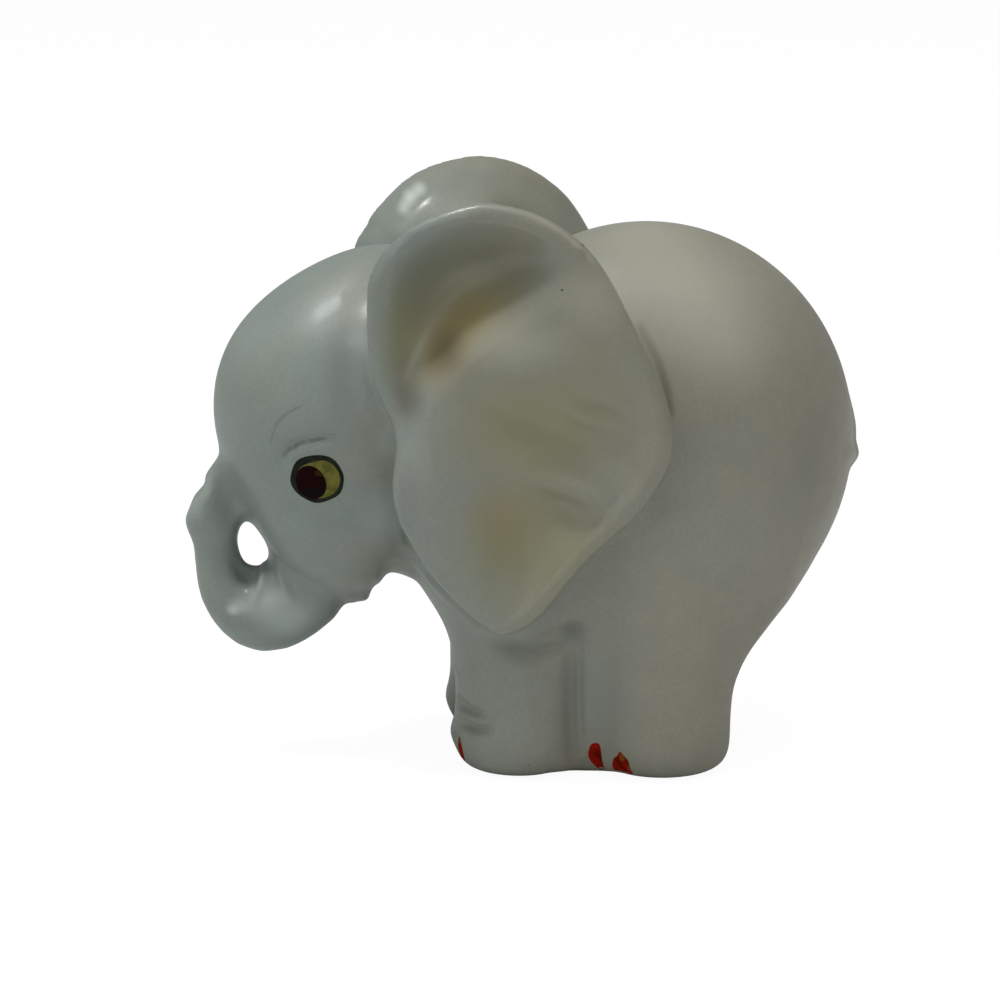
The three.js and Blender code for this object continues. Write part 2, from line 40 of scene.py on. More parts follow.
otherSide = Vector((1, -1, 1))  # a place times this is its mirror image


# Small helpers for selections, modifiers and the points of a mesh
def pick(*objects):
    bpy.ops.object.select_all(action="DESELECT")
    for item in objects:
        item.select_set(True)
    bpy.context.view_layer.objects.active = objects[0]


def applyModifier(obj, kind, **settings):
    pick(obj)
    modifier = obj.modifiers.new(kind.lower(), kind)
    for key, value in settings.items():
        setattr(modifier, key, value)
    bpy.ops.object.modifier_apply(modifier=modifier.name)


def editAll(obj, operator, **settings):
    pick(obj)
    bpy.ops.object.mode_set(mode="EDIT")
    bpy.ops.mesh.select_all(action="SELECT")
    operator(**settings)
    bpy.ops.object.mode_set(mode="OBJECT")


def readValues(items, name, width, kind=np.float32):
    values = np.zeros(len(items) * width, kind)
    items.foreach_get(name, values)
    return values.reshape(-1, width)


def meshPoints(obj):
    return readValues(obj.data.vertices, "co", 3).astype(float)


def meshNormals(obj):
    return readValues(obj.data.vertex_normals, "vector", 3).astype(float)


def meshEdges(obj):
    return readValues(obj.data.edges, "vertices", 2, np.int32)


def movePoints(obj, points):
    obj.data.vertices.foreach_set("co", points.astype(np.float32).ravel())
    obj.data.update()


def treeOf(obj):
    points = [v.co.copy() for v in obj.data.vertices]
    faces = [tuple(p.vertices) for p in obj.data.polygons]
    return BVHTree.FromPolygons(points, faces)


def pieceName(node):
    first, *others = node.split("_")
    return first + "".join(word.title() for word in others)


def smoothStep(low, high, value):
    share = np.clip((value - low) / (high - low), 0, 1)
    return share * share * (3 - 2 * share)


# The photograph: where the camera stood, and the line of sight through one of its pixels
photo = {
    "azimuth": -2.7,            # degrees from the elephant's left side
    "elevation": 12.0,
    "distance": 650 * mm,
    "target": (-3.2 * mm, 0, 37.4 * mm),
    "lens": 159.12,             # mm, as the sensor is
    "sensor": 36,
    "pixels": 1000,
    "clip": (0.01, 20),         # metres
}


def photoStand():
    azimuth = math.radians(photo["azimuth"])
    elevation = math.radians(photo["elevation"])
    back = Vector((
        math.sin(azimuth) * math.cos(elevation),
        -math.cos(azimuth) * math.cos(elevation),
        math.sin(elevation),
    ))
    return Vector(photo["target"]) + back * photo["distance"], back.to_track_quat("Z", "Y")


def photoRay(pixel):
    stand, turn = photoStand()
    half = photo["pixels"] / 2
    size = photo["sensor"] / photo["pixels"]
    way = Vector(((pixel[0] - half) * size, (half - pixel[1]) * size, -photo["lens"]))
    return stand, turn @ way.normalized()


def spotAt(tree, pixel):
    return tree.ray_cast(*photoRay(pixel))[0]


def settleSpots(tree, marks):
    return [(spotAt(tree, pixel), *rest) for pixel, *rest in marks]


def mirrorSpots(spots):
    return [(spot * otherSide, *rest) for spot, *rest in spots]


def bothSides(spots):
    return [each for spot in spots for each in (*mirrorSpots([spot]), spot)]


def pixelSize(distance):
    return distance * photo["sensor"] / photo["pixels"] / photo["lens"]


def toPixels(points):
    stand, turn = photoStand()
    local = (points - np.array(stand)) @ np.array(turn.to_matrix())
    scale = photo["lens"] * photo["pixels"] / photo["sensor"] / -local[:, 2]
    half = photo["pixels"] / 2
    return np.stack([half + local[:, 0] * scale, half - local[:, 1] * scale], axis=1)


def makeCamera():
    stand, turn = photoStand()
    bpy.ops.object.camera_add(location=stand)
    camera = bpy.context.object
    camera.name = "photoCamera"
    camera.rotation_euler = turn.to_euler()
    camera.data.lens = photo["lens"]
    camera.data.sensor_width = photo["sensor"]
    camera.data.clip_start, camera.data.clip_end = photo["clip"]
    bpy.context.scene.camera = camera


# The studio: a small lamp over the forehead, a broad one overhead, a weak one in front, a white room
studio = {
    "lamps": {   # distance and size in metres
        "keyLight": {"way": (-0.42, 0.0, 0.88), "distance": 0.62, "size": 0.13, "watts": 1.7},
        "sideLight": {"way": (0.2, -0.32, 0.94), "distance": 0.7, "size": 0.7, "watts": 1.95},
        "fillLight": {"way": (-0.75, -0.62, 0.25), "distance": 0.8, "size": 0.5, "watts": 0.5},
    },
    "lampTarget": (0, 0, 40 * mm),
    "worldColour": (0.98, 0.99, 1, 1),
    "worldStrength": 0.32,
    "floorSize": 6,             # metres
    "floorShade": 0.8,
    "floorGlow": 0.86,          # share of the glow in what the camera sees of the floor
    "floorBright": 1.1,
}


def areaLight(name, way, distance, size, watts):
    way = Vector(way).normalized()
    target = Vector(studio["lampTarget"])
    bpy.ops.object.light_add(type="AREA", location=target + way * distance)
    lamp = bpy.context.object
    lamp.name = name
    lamp.rotation_euler = way.to_track_quat("Z", "Y").to_euler()
    lamp.data.energy = watts
    lamp.data.size = size


def makeWorld():
    world = bpy.data.worlds.new("studio")
    bpy.context.scene.world = world
    world.use_nodes = True
    tree = world.node_tree
    tree.nodes.clear()
    output = addNode(tree, "ShaderNodeOutputWorld")
    seen = addNode(tree, "ShaderNodeBackground")
    seen.inputs["Color"].default_value = (1, 1, 1, 1)
    lit = addNode(tree, "ShaderNodeBackground")
    lit.inputs["Color"].default_value = studio["worldColour"]
    lit.inputs["Strength"].default_value = studio["worldStrength"]
    path = addNode(tree, "ShaderNodeLightPath")
    mix = addNode(tree, "ShaderNodeMixShader")
    tree.links.new(path.outputs["Is Camera Ray"], mix.inputs["Fac"])
    tree.links.new(lit.outputs[0], mix.inputs[1])
    tree.links.new(seen.outputs[0], mix.inputs[2])
    tree.links.new(mix.outputs[0], output.inputs["Surface"])


def makeFloor():
    bpy.ops.mesh.primitive_plane_add(size=studio["floorSize"])
    floor = bpy.context.object
    floor.name = "floor"
    material, tree = newMaterial("floorPaper")
    output = addNode(tree, "ShaderNodeOutputMaterial")
    paper = addNode(tree, "ShaderNodeBsdfDiffuse")
    shade = studio["floorShade"]
    paper.inputs["Color"].default_value = (shade, shade, shade, 1)
    glow = addNode(tree, "ShaderNodeEmission")
    glow.inputs["Color"].default_value = (1, 1, 1, 1)
    glow.inputs["Strength"].default_value = studio["floorBright"]
    path = addNode(tree, "ShaderNodeLightPath")
    share = mathNode(tree, "MULTIPLY", path.outputs["Is Camera Ray"], studio["floorGlow"])
    mix = addNode(tree, "ShaderNodeMixShader")
    tree.links.new(share, mix.inputs["Fac"])
    tree.links.new(paper.outputs[0], mix.inputs[1])
    tree.links.new(glow.outputs[0], mix.inputs[2])
    tree.links.new(mix.outputs[0], output.inputs["Surface"])
    floor.data.materials.append(material)


def makeStudio():
    for name, lamp in studio["lamps"].items():
        areaLight(name, **lamp)
    makeWorld()
    makeFloor()
    print("studio:", len(studio["lamps"]), "lamps")


# Short forms for shader nodes
def newMaterial(name):
    material = bpy.data.materials.new(name)
    material.use_nodes = True
    material.node_tree.nodes.clear()
    return material, material.node_tree


def newShader(name):
    material, tree = newMaterial(name)
    output = addNode(tree, "ShaderNodeOutputMaterial")
    shader = addNode(tree, "ShaderNodeBsdfPrincipled")
    tree.links.new(shader.outputs[0], output.inputs["Surface"])
    return material, tree, shader


def newGroup(name, inputs, outputs):
    tree = bpy.data.node_groups.new(name, "ShaderNodeTree")
    for title, kind, value in inputs:
        socket = tree.interface.new_socket(title, in_out="INPUT", socket_type=kind)
        socket.default_value = value
    for title, kind in outputs:
        tree.interface.new_socket(title, in_out="OUTPUT", socket_type=kind)
    return tree, tree.nodes.new("NodeGroupInput"), tree.nodes.new("NodeGroupOutput")


def addNode(tree, kind, **settings):
    node = tree.nodes.new(kind)
    for key, value in settings.items():
        setattr(node, key, value)
    return node


def setSocket(tree, socket, value):
    if isinstance(value, (int, float)):
        socket.default_value = value
    elif isinstance(value, tuple):
        socket.default_value = (*value, 1)
    else:
        tree.links.new(value, socket)


def mathNode(tree, operation, first, second, third=None, clamp=False):
    node = addNode(tree, "ShaderNodeMath", operation=operation, use_clamp=clamp)
    setSocket(tree, node.inputs[0], first)
    setSocket(tree, node.inputs[1], second)
    if third is not None:
        setSocket(tree, node.inputs[2], third)
    return node.outputs[0]


def mixColour(tree, share, first, second):
    node = addNode(tree, "ShaderNodeMix", data_type="RGBA")
    setSocket(tree, node.inputs[0], share)
    setSocket(tree, node.inputs[6], first)
    setSocket(tree, node.inputs[7], second)
    return node.outputs[2]


def spreadNode(tree, value, low, high):
    node = addNode(tree, "ShaderNodeMapRange", interpolation_type="SMOOTHSTEP")
    setSocket(tree, node.inputs["Value"], value)
    setSocket(tree, node.inputs["From Min"], low)
    setSocket(tree, node.inputs["From Max"], high)
    return node.outputs["Result"]


def useGroup(tree, group, **values):
    node = addNode(tree, "ShaderNodeGroup", node_tree=group)
    for key, value in values.items():
        node.inputs[key].default_value = value
    return node.outputs[0]


# Shared effects: clouds in the glaze, kiln specks and a soft spot at one place
def makeMottleGroup():
    tree, start, end = newGroup("cloudyMottle", [
        ("Scale", "NodeSocketFloat", 60.0),
        ("Low", "NodeSocketFloat", 0.35),
        ("High", "NodeSocketFloat", 0.65),
    ], [("Mask", "NodeSocketFloat")])
    place = addNode(tree, "ShaderNodeTexCoord")
    noise = addNode(tree, "ShaderNodeTexNoise")
    noise.inputs["Detail"].default_value = 3
    noise.inputs["Roughness"].default_value = 0.55
    tree.links.new(place.outputs["Object"], noise.inputs["Vector"])
    tree.links.new(start.outputs["Scale"], noise.inputs["Scale"])
    spread = spreadNode(tree, noise.outputs[0], start.outputs["Low"], start.outputs["High"])
    tree.links.new(spread, end.inputs["Mask"])
    return tree


def makeSpeckGroup():
    tree, start, end = newGroup("kilnSpecks", [
        ("Scale", "NodeSocketFloat", 300.0),
        ("Size", "NodeSocketFloat", 0.07),
        ("Rarity", "NodeSocketFloat", 0.93),
    ], [("Mask", "NodeSocketFloat")])
    place = addNode(tree, "ShaderNodeTexCoord")
    cells = addNode(tree, "ShaderNodeTexVoronoi")
    split = addNode(tree, "ShaderNodeSeparateColor")
    tree.links.new(place.outputs["Object"], cells.inputs["Vector"])
    tree.links.new(start.outputs["Scale"], cells.inputs["Scale"])
    tree.links.new(cells.outputs["Color"], split.inputs["Color"])
    near = mathNode(tree, "LESS_THAN", cells.outputs["Distance"], start.outputs["Size"])
    rare = mathNode(tree, "GREATER_THAN", split.outputs[0], start.outputs["Rarity"])
    tree.links.new(mathNode(tree, "MULTIPLY", near, rare), end.inputs["Mask"])
    return tree


def makeSpotGroup():
    tree, start, end = newGroup("softSpot", [
        ("Place", "NodeSocketVector", (0, 0, 0)),
        ("Spread", "NodeSocketVector", (1, 1, 1)),
        ("Core", "NodeSocketFloat", 0.0),
    ], [("Mask", "NodeSocketFloat")])
    place = addNode(tree, "ShaderNodeTexCoord")
    away = addNode(tree, "ShaderNodeVectorMath", operation="SUBTRACT")
    scaled = addNode(tree, "ShaderNodeVectorMath", operation="DIVIDE")
    length = addNode(tree, "ShaderNodeVectorMath", operation="LENGTH")
    tree.links.new(place.outputs["Object"], away.inputs[0])
    tree.links.new(start.outputs["Place"], away.inputs[1])
    tree.links.new(away.outputs[0], scaled.inputs[0])
    tree.links.new(start.outputs["Spread"], scaled.inputs[1])
    tree.links.new(scaled.outputs[0], length.inputs[0])
    fade = spreadNode(tree, length.outputs["Value"], 1.0, start.outputs["Core"])
    tree.links.new(fade, end.inputs["Mask"])
    return tree


mottleGroup = makeMottleGroup()
speckGroup = makeSpeckGroup()
spotGroup = makeSpotGroup()


def spotMask(tree, place, spread, core=0.0):
    return useGroup(
        tree, spotGroup,
        Place=tuple(place),
        Spread=tuple(v * mm for v in spread),
        Core=core,
    )


# The glaze: grey-green, warmer to the rear, ochre in the ears, bare clay underneath, and colours for
# painted light and painted shade
glaze = {
    "cool": (0.222, 0.265, 0.234),
    "warm": (0.29, 0.275, 0.21),
    "earWarm": (0.25, 0.243, 0.183),
    # darker clouds in the glaze, and painted shade in creases, hollows and under the ear
    "deep": (0.15, 0.165, 0.14),
    "ochre": (0.31, 0.235, 0.1),
    # olive tint of the ears, in the ear's hollow also painted shade
    "olive": (0.25, 0.245, 0.135),
    # painted light on lit borders and a painted sheen on the trunk
    "pale": (0.39, 0.445, 0.4),
    # painted highlights
    "shine": (0.62, 0.68, 0.62),
    # painted light on lit tops
    "light": (0.38, 0.375, 0.3),
    # painted shade
    "shade": (0.1, 0.088, 0.06),
    "slate": (0.12, 0.135, 0.12),
    "speck": (0.03, 0.028, 0.022),
    "bare": (0.5, 0.46, 0.39),
    "roughness": 0.44,
    "cloudRoughness": 0.08,     # added in the fine clouds
    "bareRoughness": 0.5,       # added on the bare clay
    "coat": 0.1,
    "earCoat": 0.3,
    "coatRoughness": 0.16,
    "refraction": 1.5,
    "bodyRun": (-48 * mm, 50 * mm),     # along the elephant, from the cool to the warm end
    "earRun": (-24 * mm, 6 * mm),
    "soleLine": (0.45 * mm, 0.2 * mm),  # from the end of the glaze to the bare clay
    "clouds": {"Scale": 38.0, "Low": 0.3, "High": 0.7},
    "cloudDrift": 0.4,                  # how far the clouds shift the warm end
    "fineClouds": {"Scale": 260.0, "Low": 0.25, "High": 0.8},
    "fineShare": 0.16,
    "grain": {"Scale": 1900.0, "Low": 0.35, "High": 0.7},
    "grainShare": 0.2,
    "streaks": {"Scale": 900.0, "Low": 0.2, "High": 0.6},
    "stripeEnds": (1.0, 0.5),           # where a stripe fades out and where it is full
    "stripeEdges": (0.95, 0.1),
    "dust": {"Scale": 420.0, "Size": 0.06, "Rarity": 0.985},
    "dustShare": 0.6,
    "speckCore": 0.6,
    "bumpStrength": 0.06,
    "bumpDistance": 0.1 * mm,
}
# Glaze tints, painted light and painted shade on the castings: pixel of the photograph, spread in mm,
# strength and colour
earTintLightAndShade = [
    ((470, 310), (17, 11, 14), 0.8, "olive"),
    ((535, 430), (17, 11, 12), 0.9, "olive"),
    ((520, 540), (13, 11, 14), 0.9, "olive"),
    ((590, 380), (10, 10, 14), 0.35, "olive"),
    ((466, 322), (11, 9, 9), 0.8, "ochre"),
    ((440, 355), (7, 9, 8), 0.7, "ochre"),
    ((505, 520), (8, 9, 8), 0.4, "ochre"),
    ((560, 540), (9, 10, 9), 0.5, "olive"),
    # painted shade in the hollow, under the rim and before the lobe; the olive patches here are tint
    # and painted shade
    ((505, 262), (10, 9, 5), 0.3, "shade"),
    ((446, 352), (5, 8, 5), 0.6, "shade"),
    ((520, 410), (13, 9, 9), 0.3, "olive"),
    ((402, 345), (5.5, 9, 11), 0.7, "olive"),
    ((404, 385), (4, 9, 8), 0.45, "shade"),
    ((408, 400), (3.2, 8, 4), 0.5, "shade"),
    # painted light on the lit lobe and on the lit front border
    ((597, 300), (7, 9, 7), 0.45, "light"),
    ((513, 345), (12, 9, 5.5), 0.6, "light"),
    ((415, 455), (3.5, 8, 8), 0.3, "pale"),
]
earGap = {   # shade in the gap behind the ear, a row of small patches
    "rows": range(328, 414, 6),
    "lineRows": [326, 348, 362, 377, 391, 412],
    "lineColumns": [639, 651, 658, 663, 667, 670],
    "tint": ((1.2, 6, 1.3), 0.5, "shade"),
}
# painted shade in the gap behind the ear, then the patches below
bodyTintLightAndShade = [
    ((np.interp(row, earGap["lineRows"], earGap["lineColumns"]), row), *earGap["tint"])
    for row in earGap["rows"]
] + [
    # painted shade low on the rear
    ((812, 470), (9, 16, 17), 0.4, "deep"),
    # painted light on the lit top of the body
    ((680, 285), (22, 14, 16), 0.6, "light"),
    ((725, 348), (13, 12, 9), 0.45, "light"),
    ((650, 235), (12, 12, 7), 0.5, "light"),
    # painted shade under the ear, in the leg wrinkles and in the groove between the legs
    ((572, 631), (2.6, 8, 2.4), 0.9, "deep"),
    ((520, 646), (6, 8, 1.8), 0.5, "deep"),
    ((474, 712), (3.2, 6, 1.2), 0.3, "deep"),
    ((474, 729), (3, 6, 0.9), 0.5, "deep"),
    ((573, 700), (1.8, 8, 12), 0.4, "deep"),
    # a patch of the cool glaze colour on the hind leg
    ((600, 700), (8, 9, 12), 0.5, "cool"),
]
trunkLightAndShade = [
    # painted light and shade on the trunk: a painted sheen on the lower curl, painted light on the lit
    # tip band, painted shade in the hollows and painted highlights
    ((266, 598), (6, 8, 5), 0.8, "pale"),
    ((262, 584), (0.9, 5, 3.2), 0.5, "pale"),
    ((246, 576), (2.6, 5, 1.6), 0.6, "deep"),
    ((290, 618), (6.5, 8, 5), 0.7, "pale"),
    ((205, 485), (2.4, 9, 3.4), 0.4, "pale"),
    ((195, 508), (2.2, 9, 3), 0.4, "pale"),
    ((228, 500), (2.5, 8, 6), 0.35, "deep"),
    ((240, 606), (2.6, 5, 1.8), 0.35, "shine"),
    ((233, 610), (1.4, 5, 1.2), 0.5, "shine"),
    ((246, 591), (0.4, 5, 0.4), 0.8, "shine"),
]
# painted highlights on the far ear
farEarHighlights = [
    ((404, 207), (1.7, 5, 1.7), 0.55, "shine"),
    ((410, 197), (1.9, 5, 1.9), 0.75, "shine"),
    ((419, 189), (1.7, 5, 1.6), 0.6, "shine"),
]
# painted light beside the ear and on the face, painted shade in the valley before the ear
headLightAndShade = [
    ((382, 520), (5, 9, 7), 0.4, "pale"),
    ((342, 366), (4, 8, 10), 0.5, "deep"),
    ((388, 444), (2.6, 9, 4.5), 0.5, "pale"),
    ((250, 340), (9, 12, 8), 0.15, "pale"),
]
earSpecks = [((552, 215), 0.3), ((583, 245), 0.4), ((562, 290), 0.22)]    # pixel, size in mm
# the eyelid's wide grey streak is a brushed line and painted shade of the lid's crease
stripes = {"brow": 0.55, "eyelid": 0.9}     # strength of the grey streaks


# A stripe lies along the middle of a ribbon and fades out to its borders
def stripeMask(tree):
    ribbon = addNode(tree, "ShaderNodeUVMap", uv_map="UVMap")
    split = addNode(tree, "ShaderNodeSeparateXYZ")
    tree.links.new(ribbon.outputs[0], split.inputs[0])
    ends, edges = (
        mathNode(tree, "ABSOLUTE", mathNode(tree, "MULTIPLY_ADD", split.outputs[word], 2.0, -1.0), 0.0)
        for word in "XY"
    )
    atEnds = spreadNode(tree, ends, *glaze["stripeEnds"])
    atEdges = spreadNode(tree, edges, *glaze["stripeEdges"])
    return mathNode(tree, "MULTIPLY", atEnds, atEdges)


def makeGlaze(name, blush=(), specks=(), ear=False, stripe=0.0):
    material, tree, shader = newShader(name)
    place = addNode(tree, "ShaderNodeTexCoord")
    split = addNode(tree, "ShaderNodeSeparateXYZ")
    tree.links.new(place.outputs["Object"], split.inputs[0])
    along = spreadNode(tree, split.outputs["X"], *glaze["earRun" if ear else "bodyRun"])
    broad = useGroup(tree, mottleGroup, **glaze["clouds"])
    drift = mathNode(tree, "MULTIPLY_ADD", broad, glaze["cloudDrift"], -glaze["cloudDrift"] / 2)
    warmth = mathNode(tree, "ADD", drift, along, clamp=True)
    colour = mixColour(tree, warmth, glaze["cool"], glaze["earWarm" if ear else "warm"])
    fine = useGroup(tree, mottleGroup, **glaze["fineClouds"])
    grain = useGroup(tree, mottleGroup, **glaze["grain"])
    for clouds, share in ((fine, glaze["fineShare"]), (grain, glaze["grainShare"])):
        colour = mixColour(tree, mathNode(tree, "MULTIPLY", clouds, share), colour, glaze["deep"])
    # tints, painted light and painted shade, each mixed in by a soft spot
    for spot, spread, strength, tint in blush:
        mask = mathNode(tree, "MULTIPLY", spotMask(tree, spot, spread), strength)
        colour = mixColour(tree, mask, colour, glaze[tint])
    if stripe:
        streaks = useGroup(tree, mottleGroup, **glaze["streaks"])
        streaked = mathNode(tree, "MULTIPLY", stripeMask(tree), streaks)
        mask = mathNode(tree, "MULTIPLY", streaked, stripe)
        colour = mixColour(tree, mask, colour, glaze["slate"])
    dust = mathNode(tree, "MULTIPLY", useGroup(tree, speckGroup, **glaze["dust"]), glaze["dustShare"])
    colour = mixColour(tree, dust, colour, glaze["speck"])
    for spot, reach in specks:
        mask = spotMask(tree, spot, (reach, reach, reach), glaze["speckCore"])
        colour = mixColour(tree, mask, colour, glaze["speck"])
    sole = spreadNode(tree, split.outputs["Z"], *glaze["soleLine"])
    colour = mixColour(tree, sole, colour, glaze["bare"])
    tree.links.new(colour, shader.inputs["Base Color"])
    rough = mathNode(tree, "MULTIPLY_ADD", fine, glaze["cloudRoughness"], glaze["roughness"])
    rough = mathNode(tree, "MULTIPLY_ADD", sole, glaze["bareRoughness"], rough)
    tree.links.new(rough, shader.inputs["Roughness"])
    gloss = glaze["earCoat" if ear else "coat"]
    coat = mathNode(tree, "MULTIPLY_ADD", sole, -gloss, gloss)
    tree.links.new(coat, shader.inputs["Coat Weight"])
    shader.inputs["Coat Roughness"].default_value = glaze["coatRoughness"]
    shader.inputs["IOR"].default_value = glaze["refraction"]
    bump = addNode(tree, "ShaderNodeBump")
    bump.inputs["Strength"].default_value = glaze["bumpStrength"]
    bump.inputs["Distance"].default_value = glaze["bumpDistance"]
    tree.links.new(fine, bump.inputs["Height"])
    tree.links.new(bump.outputs[0], shader.inputs["Normal"])
    return material


# Brushed enamel: slot, the two colours that it is streaked with, roughness and gloss
enamels = {
    "eye_line": ("ink", (0.006, 0.009, 0.005), (0.014, 0.02, 0.012), 0.45, 0.08),
    "eye_white": ("cream", (0.165, 0.155, 0.03), (0.085, 0.085, 0.016), 0.45, 0.08),
    "iris": ("maroon", (0.012, 0.0008, 0.001), (0.006, 0.0008, 0.0008), 0.5, 0.03),
    "toenail": ("vermilion", (0.3, 0.01, 0.002), (0.12, 0.004, 0.0015), 0.6, 0.02),
}
brushing = {
    "streaks": {"Scale": 700.0, "Low": 0.35, "High": 0.7},
    "spotCore": 0.5,
}
irisSpots = [   # pixel of the photograph, spread in mm and colour: the pupil and a lighter place
    ((313, 492), (2.2, 2.2, 0.9), (0.004, 0.003, 0.003)),
    ((319, 473), (0.9, 2, 0.6), (0.035, 0.012, 0.005)),
]
nailSpots = [
    (pixel, (0.5, 3, 0.9), (0.22, 0.06, 0.012)) for pixel in ((622, 757), (630, 768), (460, 740))
]


def makePaint(name, kind, spots=()):
    colour, second, roughness, gloss = enamels[kind][1:]
    material, tree, shader = newShader(name)
    shade = mixColour(tree, useGroup(tree, mottleGroup, **brushing["streaks"]), colour, second)
    for spot, spread, spotColour in spots:
        mask = spotMask(tree, spot, spread, brushing["spotCore"])
        shade = mixColour(tree, mask, shade, spotColour)
    tree.links.new(shade, shader.inputs["Base Color"])
    shader.inputs["Roughness"].default_value = roughness
    shader.inputs["Specular IOR Level"].default_value = gloss
    return material


def makeGlazes(tree):
    blush, specks = settleSpots(tree, earTintLightAndShade), settleSpots(tree, earSpecks)
    farTintLightAndShade = mirrorSpots(blush) + settleSpots(tree, farEarHighlights)
    return {
        "left_ear": makeGlaze("leftEarGlaze", blush, specks, ear=True),
        "right_ear": makeGlaze("rightEarGlaze", farTintLightAndShade, ear=True),
        "body_shell": makeGlaze("bodyGlaze", bothSides(settleSpots(tree, bodyTintLightAndShade))),
        "head_shell": makeGlaze("headGlaze", bothSides(settleSpots(tree, headLightAndShade))),
        "trunk": makeGlaze("trunkGlaze", settleSpots(tree, trunkLightAndShade)),
        "tail": makeGlaze("glaze"),
    }


def makePaints(tree):
    spots = settleSpots(tree, irisSpots)
    return {
        "eye_line": makePaint("eye_linePaint", "eye_line"),
        "eye_white": makePaint("eye_whitePaint", "eye_white"),
        "toenail": makePaint("toenailPaint", "toenail", bothSides(settleSpots(tree, nailSpots))),
        "left_iris": makePaint("leftIrisPaint", "iris", spots),
        "right_iris": makePaint("rightIrisPaint", "iris", mirrorSpots(spots)),
        **{word: makeGlaze(word + "Stripe", stripe=strength) for word, strength in stripes.items()},
    }


# The clay: the castings luted together into one skin
clay = {
    "castings": {   # how much each one is sponged
        "body_shell": 1.0,
        "head_shell": 1.0,
        "trunk": 0.35,
        "tail": 0.25,
        "left_ear": 0.3,
        "right_ear": 0.3,
    },
    "earBackSoftness": 0.35,    # added on the inner side of the ears
    "earBackFacing": (0.2, 0.7),
    "weld": 0.001 * mm,
    "swell": 0.2 * mm,          # closes the 0.3 mm joins
    "shrink": 0.16 * mm,
    "voxel": 0.42 * mm,
    "smoothRounds": 60,
    "joinReach": 2.4 * mm,      # how far a luted join is sponged
    "ownVote": 1.5,             # a face's own say about the casting that it goes to
    "ownerRounds": 12,
    "settleRounds": 3,
    "untieRounds": 20,
    "plugRadius": 5.2 * mm,
    "plugLow": 1.3 * mm,
    "plugHigh": 5.5 * mm,
    "ventX": 9.47 * mm,
    "ventRadius": 4.3 * mm,
    "ventSoft": 0.1,            # share of the radius
    "ventLow": 2.5 * mm,        # clay below this height is pressed up
    "ventDepth": 5 * mm,
}


def copyCasting(name):
    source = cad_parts[name]
    copy = source.copy()
    copy.data = source.data.copy()
    copy.name = "clay_" + name
    copy.parent = None
    for key in list(copy.keys()):
        del copy[key]
    bpy.context.scene.collection.objects.link(copy)
    editAll(copy, bpy.ops.mesh.remove_doubles, threshold=clay["weld"])
    return copy


def makePlug():
    height = clay["plugHigh"] - clay["plugLow"]
    bpy.ops.mesh.primitive_cylinder_add(
        radius=clay["plugRadius"],
        depth=height,
        location=(clay["ventX"], 0, clay["plugLow"] + height / 2),
    )
    return bpy.context.object


def keepLargest(obj):
    editAll(obj, bpy.ops.mesh.separate, type="LOOSE")
    parts = sorted(bpy.context.selected_objects, key=lambda o: max(o.dimensions), reverse=True)
    for part in parts[1:]:
        bpy.data.objects.remove(part)
    return parts[0]


# Draws each point halfway to its neighbours, by its weight, round after round
def softenClay(obj, weights, rounds):
    points = meshPoints(obj)
    edges = meshEdges(obj)
    starts, ends = np.r_[edges[:, 0], edges[:, 1]], np.r_[edges[:, 1], edges[:, 0]]
    used = weights[starts] > 0
    starts, ends = starts[used], ends[used]
    index, slots = np.unique(starts, return_inverse=True)
    share = 0.5 * weights[index] / np.bincount(slots)
    pull = 0.5 * weights[index]
    for _ in range(rounds):
        for k in range(3):
            total = np.bincount(slots, points[ends, k])
            points[index, k] += total * share - points[index, k] * pull
    movePoints(obj, points)


def makeClay():
    copies = [copyCasting(name) for name in clay["castings"]]
    trees = [treeOf(copy) for copy in copies]
    for copy in copies:
        applyModifier(copy, "DISPLACE", strength=clay["swell"], mid_level=0, direction="NORMAL")
    plug = makePlug()
    pick(copies[0], *copies[1:], plug)
    bpy.ops.object.join()
    skin = bpy.context.object
    applyModifier(skin, "REMESH", mode="VOXEL", voxel_size=clay["voxel"])
    skin = keepLargest(skin)
    skin.name = "clay"
    spots = [Vector(p) for p in meshPoints(skin)]
    distances = np.array([[tree.find_nearest(p)[3] for p in spots] for tree in trees])
    order = np.sort(distances, axis=0)
    owner = np.argmin(distances, axis=0)
    join = 1 - smoothStep(0, clay["joinReach"], order[1] - order[0])
    softness = np.array(list(clay["castings"].values()))[owner]
    isEar = np.array([name.endswith("_ear") for name in clay["castings"]])[owner]
    inner = -meshNormals(skin)[:, 1] * np.sign(meshPoints(skin)[:, 1])
    softness += isEar * clay["earBackSoftness"] * smoothStep(*clay["earBackFacing"], inner)
    softenClay(skin, softness + (1 - softness) * join, clay["smoothRounds"])
    movePoints(skin, meshPoints(skin) - meshNormals(skin) * clay["shrink"])
    print("clay:", len(spots), "points,", len(skin.data.polygons), "faces")
    return skin, owner


def pressVent(skin):
    points = meshPoints(skin)
    out = np.hypot(points[:, 0] - clay["ventX"], points[:, 1])
    low = points[:, 2] < clay["ventLow"]
    start, end = (clay["ventRadius"] * (1 + turn * clay["ventSoft"]) for turn in (-1, 1))
    points[:, 2] += (1 - smoothStep(start, end, out)) * low * clay["ventDepth"]
    movePoints(skin, points)


